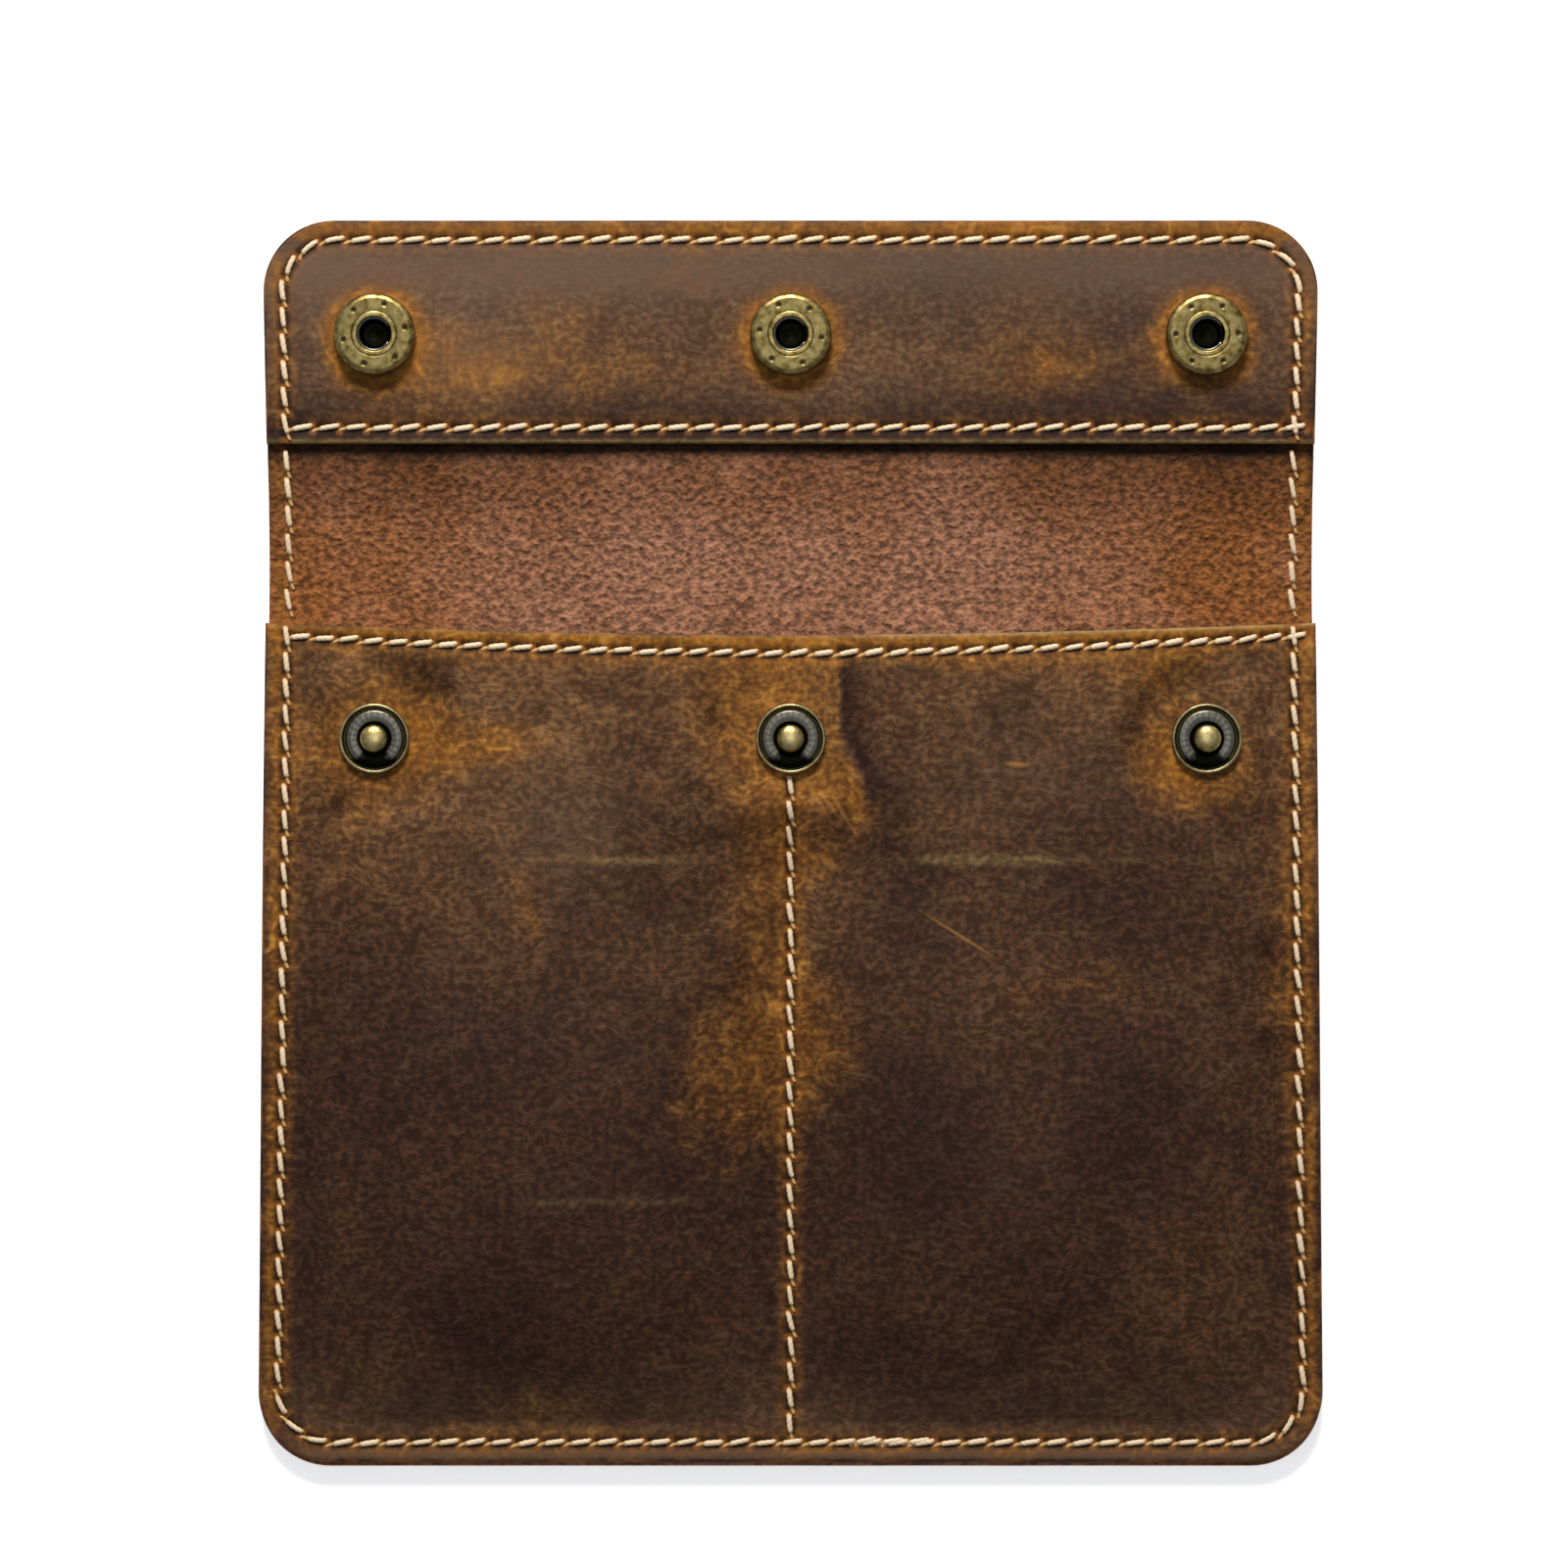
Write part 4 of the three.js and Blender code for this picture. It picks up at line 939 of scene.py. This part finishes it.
# Stitches
def sew(name, seams, face, up=1, seed=1):
    """All stitches of some seams: each slants from one needle hole to the next, twisted from two plies,
    with a blunt body and a thin tail that dips into the leather."""
    body_run = body_end - tail_share
    body_share = tail_share + body_run * (1 - np.cos(np.linspace(0, math.pi, 14))) / 2
    share = np.concatenate([np.linspace(0, tail_share, 4)[:-1], body_share, [1.0]])
    from_middle = np.abs(2 * (share - tail_share) / body_run - 1)
    swell = np.clip(1 - from_middle ** 3, 0, 1) ** 0.4
    turn = np.linspace(0, 2 * math.pi, 12, endpoint=False)
    draw = np.random.default_rng(seed)
    points, tails, plies = [], [], []
    for seam in seams:
        number = np.arange(seam.count)[:, None]
        run = (number + 0.5 + stitch_share * (share - 0.5)) * seam.pitch
        middle, ahead = seam.at(run)
        aside = np.stack([-ahead[..., 1], ahead[..., 0]], -1)
        wobble = draw.normal(0, stitch_wobble, (seam.count, 2))
        sideways = stitch_slant * (2 * share - 1) - tail_droop * (1 - share) ** 6
        sideways = sideways + wobble[:, :1] + wobble[:, 1:] * (2 * share - 1)
        fat = 1 + draw.normal(0, girth_wobble, (seam.count, 1))
        centre = middle + aside * sideways[..., None]
        level = face(centre[..., 0], centre[..., 1], np.abs(sideways), run / seam.pitch)
        level = level + up * thread_lift * swell
        ply = np.cos(2 * (turn - 2 * math.pi * run[..., None] / ply_twist))
        girth = (fat * mix(tail_width, 1, swell))[..., None] * (1 + 0.08 * ply) / 2
        width, height = thread_width * girth, thread_height * girth
        xy = centre[..., None, :] + aside[..., None, :] * (width * np.cos(turn))[..., None]
        z = level[..., None] + up * height * np.sin(turn)
        points.append(np.concatenate([xy, z[..., None]], -1).reshape(-1, 3))
        tails.append(np.broadcast_to((1 - swell)[:, None], z.shape).ravel())
        plies.append(ply.ravel())
    points = np.concatenate(points)
    around, along = len(turn), len(share)
    ring, belt = belt_of(around)
    if up < 0:
        belt = belt[:, ::-1]
    body = np.concatenate([belt + around * step for step in range(along - 1)])
    last = around * (along - 1)
    closing = [ring, ring[::-1] + last] if up > 0 else [ring[::-1], ring + last]
    faces = []
    for first in range(0, len(points), around * along):
        faces.extend((body + first).tolist())
        faces.extend((end + first).tolist() for end in closing)
    made = object_of(name, points, faces, [thread])
    mark(made, "tail", np.concatenate(tails))
    mark(made, "ply", np.concatenate(plies))
    return made


def make_stitches():
    on_pouch = {
        "pocket_edge": [*pocket_edge_seams, tack_seam], "mouth": [mouth_seam], "divider": [divider_seam]}
    for seed, (name, seams) in enumerate(on_pouch.items(), 1):
        made = sew(f"{name}_stitches", seams, pocket_face, seed=seed)
        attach(made, "pouch")
        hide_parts(f"{name}_thread")
    on_flap = {"flap_edge": flap_edge_seams, "flap_hem": [hem_seam]}
    for seed, (name, seams) in enumerate(on_flap.items(), 11):
        made = sew(f"{name}_stitches", seams, facing_face, seed=seed)
        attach(made, "flap")
        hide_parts(f"{name}_thread")
    low = sew("strip_stitches_low", strip_seams["low"], strip_face, seed=21)
    bend(low)
    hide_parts(*(f"{part}_thread_{side}" for part in ("back_edge", "spine")
                       for side in ("left", "right")))
    high = sew("strip_stitches_high", strip_seams["high"], strip_face, seed=22)
    bend(high)
    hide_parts("flap_root_thread_left", "flap_root_thread_right")
    back = sew("back_stitches", back_seams, back_face, up=-1, seed=31)
    bend(back)
    flap = sew("flap_back_stitches", flap_seams, back_face, up=-1, seed=32)
    bend(flap)


# Snaps
def softened(profile, reach):
    """Profile points (radius, height, tarnish with painted shade in hollows, and bare metal on a stud) with
    rounded corners.
    """
    points = [np.array(point, dtype=float) for point in profile]
    soft = [points[0]]
    for before, corner, after in zip(points, points[1:], points[2:]):
        back, ahead = before - corner, after - corner
        back_share = min(0.45, reach / np.linalg.norm(back[:2]))
        ahead_share = min(0.45, reach / np.linalg.norm(ahead[:2]))
        start, end = corner + back * back_share, corner + ahead * ahead_share
        for share in (0, 0.25, 0.5, 0.75, 1):
            soft.append(mix(mix(start, corner, share), mix(corner, end, share), share))
    return np.array(soft + [points[-1]])


def turned(name, profile, x, y, z, sides, material, relief=None):
    """A turned piece from its profile. Profiles start and end on the axis, or close on themselves."""
    profile = np.asarray(profile)
    turn = np.linspace(0, 2 * math.pi, sides, endpoint=False)
    radius = np.repeat(profile[:, :1], sides, 1)
    height = np.repeat(profile[:, 1:2], sides, 1)
    tarnish_and_shade = np.repeat(profile[:, 2:3], sides, 1)
    if relief:
        radius, height, tarnish_and_shade = relief(radius, height, tarnish_and_shade, turn[None, :])
    points = np.stack([x + radius * np.cos(turn), y + radius * np.sin(turn), z + height], -1).reshape(-1, 3)
    ring = np.arange(sides)
    belt = np.stack([ring, (ring + 1) % sides, (ring + 1) % sides + sides, ring + sides], -1)
    faces = []
    for step in range(len(profile) - 1):
        faces.extend((belt + step * sides).tolist())
    on_axis = profile[0, 0] == 0
    if on_axis:
        faces = [list(dict.fromkeys(face)) for face in faces]
    made = object_of(name, points, faces, [material])
    mark(made, "tarnish_and_shade", tarnish_and_shade)
    if profile.shape[1] > 3:
        mark(made, "bare", np.repeat(profile[:, 3:], sides, 1))
    weld(made)
    return made


def weld(piece):
    """Joins points that fall together on the axis or where a profile closes."""
    mesh = bmesh.new()
    mesh.from_mesh(piece.data)
    bmesh.ops.remove_doubles(mesh, verts=mesh.verts, dist=0.002 * MM)
    bmesh.ops.recalc_face_normals(mesh, faces=mesh.faces)
    mesh.to_mesh(piece.data)
    mesh.free()


def milled(radius, height, tarnish_and_shade, turn):
    """Fine teeth on the grey ring of the stud, and painted shadow that makes its dish blackest at the lower
    side.
    """
    teeth = 24
    on_ring = ease(2.5, 2.8, radius) * (1 - ease(4.0, 4.2, radius)) * (height > 0.4)
    wave = np.cos(teeth * turn)
    in_dish = ease(2.3, 2.6, radius) * (1 - ease(4.6, 4.85, radius)) * (height > 0.3)
    low_side = ease(0.6, 0.95, -np.sin(turn))
    return radius, height + 0.012 * wave * on_ring, tarnish_and_shade - 0.12 * wave * on_ring + in_dish * low_side


def dimpled(first):
    """Six small punch marks round the face of a socket, the first of them at this angle in degrees."""
    def relief(radius, height, tarnish_and_shade, turn):
        depth = np.zeros(np.broadcast(radius, turn).shape)
        for punch in range(6):
            angle = math.radians(first + 60 * punch)
            away = np.hypot(radius * np.cos(turn) - punch_radius * math.cos(angle),
                            radius * np.sin(turn) - punch_radius * math.sin(angle))
            depth = np.maximum(depth, 1 - ease(0.25, 0.55, away))
        depth = depth * (height > 2.2)
        return radius, height - 0.1 * depth, np.maximum(tarnish_and_shade, 0.9 * depth)
    return relief


def make_snaps():
    knob_radius, knob_rise = 2.05, 0.85
    knob = [(knob_radius * math.cos(t), 2.05 + knob_rise * math.sin(t), 0.2 - 0.35 * math.sin(t), 0)
            for t in np.linspace(0, math.pi / 2, 12)]
    # The channel inside the rim and the gap round the neck of the knob are near black, partly tarnish and
    # partly painted shade
    stud = softened([
        (0, 0, 1, 0), (stud_radius - 0.2, 0, 1, 0), (stud_radius, 0.2, 0.5, 0),
        (stud_radius, 0.75, 0.1, 0), (stud_radius - 0.15, 1.0, -0.08, 0.4),
        (stud_radius - 0.48, 0.97, 0.05, 0.4), (stud_radius - 0.65, 0.5, 0.8, 0), (4.4, 0.45, 0.85, 0),
        (4.2, 0.75, 0.3, 0.9), (3.5, 0.85, 0.15, 1), (2.6, 0.75, 0.35, 0.9), (2.35, 0.45, 1.1, 0),
        (1.5, 0.45, 1.1, 0), (1.5, 1.75, 1, 0), *knob], 0.14)
    socket_face = [(5.35 - 0.12 * step, 2.5 + 0.03 * math.sin(math.pi * step / 15), 0.28)
                   for step in range(16)]
    # Inside its hole the socket is painted black: painted shade
    socket = softened([
        (1.9, 0, 1), (5.7, 0, 0.9), (6.2, 0.5, 0.6), (6.2, 1.75, 0.3), (6.0, 2.2, 0.05), (5.6, 2.45, 0),
        *socket_face, (3.45, 2.45, 0.6), (3.3, 2.6, -0.2), (2.72, 2.6, -0.2), (2.6, 2.45, 0.8),
        (3.2, 2.25, 1.2), (3.2, 1.55, 1.2), (2.6, 1.5, 1.2), (2.6, 0.35, 1.2), (1.9, 0.35, 1.2),
        (1.9, 0, 1)], 0.12)
    cap_top = cap_high[2]
    cap_radius = (cap_high[0] - cap_low[0]) / 2
    dome = [(cap_radius * math.sin(t), 1.7 - 1.7 * math.cos(t) ** 0.8, 0.1) for t in np.linspace(0, 1.5, 16)]
    # The barrel of the cap, seen down the hole of the socket, is painted black: painted shade
    cap = softened([
        *dome, (cap_radius, 1.45, 0.2), (cap_radius, 1.6, 0.5), (cap_radius - 0.1, 1.7, 0.8),
        (1.6, 1.7, 1), (1.6, cap_top - 0.3, 1.2), (2.2, cap_top - 0.3, 1.2), (2.2, cap_top - 0.12, 1.2),
        (1.6, cap_top, 1.2), (0.9, cap_top - 0.1, 1.2), (0, cap_top - 0.3, 1.2)], 0.1)
    flange = (post_high[0] - post_low[0]) / 2
    length = post_high[2] - post_low[2]
    post = softened([
        (0, 0, 0.2), (flange - 0.5, 0, 0.2), (flange, 0.35, 0.3), (flange, 0.7, 0.5), (0.8, 0.7, 1),
        (0.8, length - 0.2, 1), (0.6, length, 1), (0, length, 1)], 0.12)
    for side, x in snap_columns.items():
        pieces = {
            "stud": ("pouch", turned(f"stud_{side}", stud, x, stud_y, stud_seat, 176, brass, milled)),
            "post": ("pouch", turned(f"post_{side}", post, x, stud_y, post_low[2], 48, brass)),
            "socket": ("flap", turned(f"socket_{side}", socket, x, socket_y, socket_seat, 144, brass,
                                       dimpled(punch_turns[side]))),
            "cap": ("flap", turned(f"cap_{side}", cap, x, socket_y, 0, 72, brass)),
            "spring": ("flap", wire_spring(f"spring_{side}", x))}
        for kind, (body, piece) in pieces.items():
            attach(piece, body)
            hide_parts(f"snap_{kind}_{side}")


def wire_spring(name, x):
    """Round wire bent to an open ring, held in the groove of the socket."""
    wire, ring_radius, opening = 0.6, 2.5, math.radians(50)
    sides, steps = 14, 48
    z = (spring_low[2] + spring_high[2]) / 2
    along = np.linspace(opening / 2, 2 * math.pi - opening / 2, steps + 1)
    around = np.linspace(0, 2 * math.pi, sides, endpoint=False)
    from_end = np.minimum(np.arange(steps + 1), steps - np.arange(steps + 1))
    thick = wire / 2 * np.sqrt(np.clip(from_end / 2, 0.05, 1))[:, None]
    radius = ring_radius + thick * np.cos(around)
    points = np.stack([x + radius * np.cos(along)[:, None], socket_y + radius * np.sin(along)[:, None],
                       z + thick * np.sin(around)], -1).reshape(-1, 3)
    ring, belt = belt_of(sides)
    faces = [face for step in range(steps) for face in (belt[:, ::-1] + sides * step).tolist()]
    faces += [ring.tolist()[::-1], (ring + sides * steps).tolist()]
    return object_of(name, points, faces, [steel])


# Floor, light and camera
def make_studio():
    bpy.ops.mesh.primitive_plane_add(size=4, location=(0, 0, -0.05 * MM))
    floor = bpy.context.object
    floor.name = "card"
    floor.data.materials.append(white_card())
    floor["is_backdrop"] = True

    def softbox(name, place, wide, tall, watts, colour):
        light = bpy.data.lights.new(name, "AREA")
        light.shape = "RECTANGLE"
        light.size, light.size_y = wide, tall
        light.energy = watts
        light.color = linear(colour)[:3]
        lamp = bpy.data.objects.new(name, light)
        lamp.location = place
        lamp.rotation_euler = (-Vector(place)).to_track_quat("-Z", "Y").to_euler()
        bpy.context.scene.collection.objects.link(lamp)

    softbox("key", (-0.06, 0.86, 0.64), 0.34, 0.24, 16.5, "#fff8ee")
    softbox("overhead", (0.0, 0.12, 1.4), 0.5, 0.5, 1.4, "#ffffff")
    world = bpy.data.worlds.new("studio")
    world.use_nodes = True
    world.node_tree.nodes["Background"].inputs["Color"].default_value = linear("#ecf0f8")
    world.node_tree.nodes["Background"].inputs["Strength"].default_value = 0.27
    bpy.context.scene.world = world

    view = bpy.data.cameras.new("view")
    distance, frame_width = 0.8, 0.24
    view.sensor_width = 36
    view.lens = view.sensor_width * distance / frame_width
    camera = bpy.data.objects.new("view", view)
    camera.location = (-1.0 * MM, 9.2 * MM, distance)
    bpy.context.scene.collection.objects.link(camera)
    bpy.context.scene.camera = camera
    bpy.context.scene.view_settings.view_transform = "Standard"


make_hide()
make_front_pocket()
make_flap_facing()
make_stitches()
make_snaps()
make_studio()

low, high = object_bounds()
{"cad": [list(cad_low), list(cad_high)], "visual": [list(low), list(high)]}
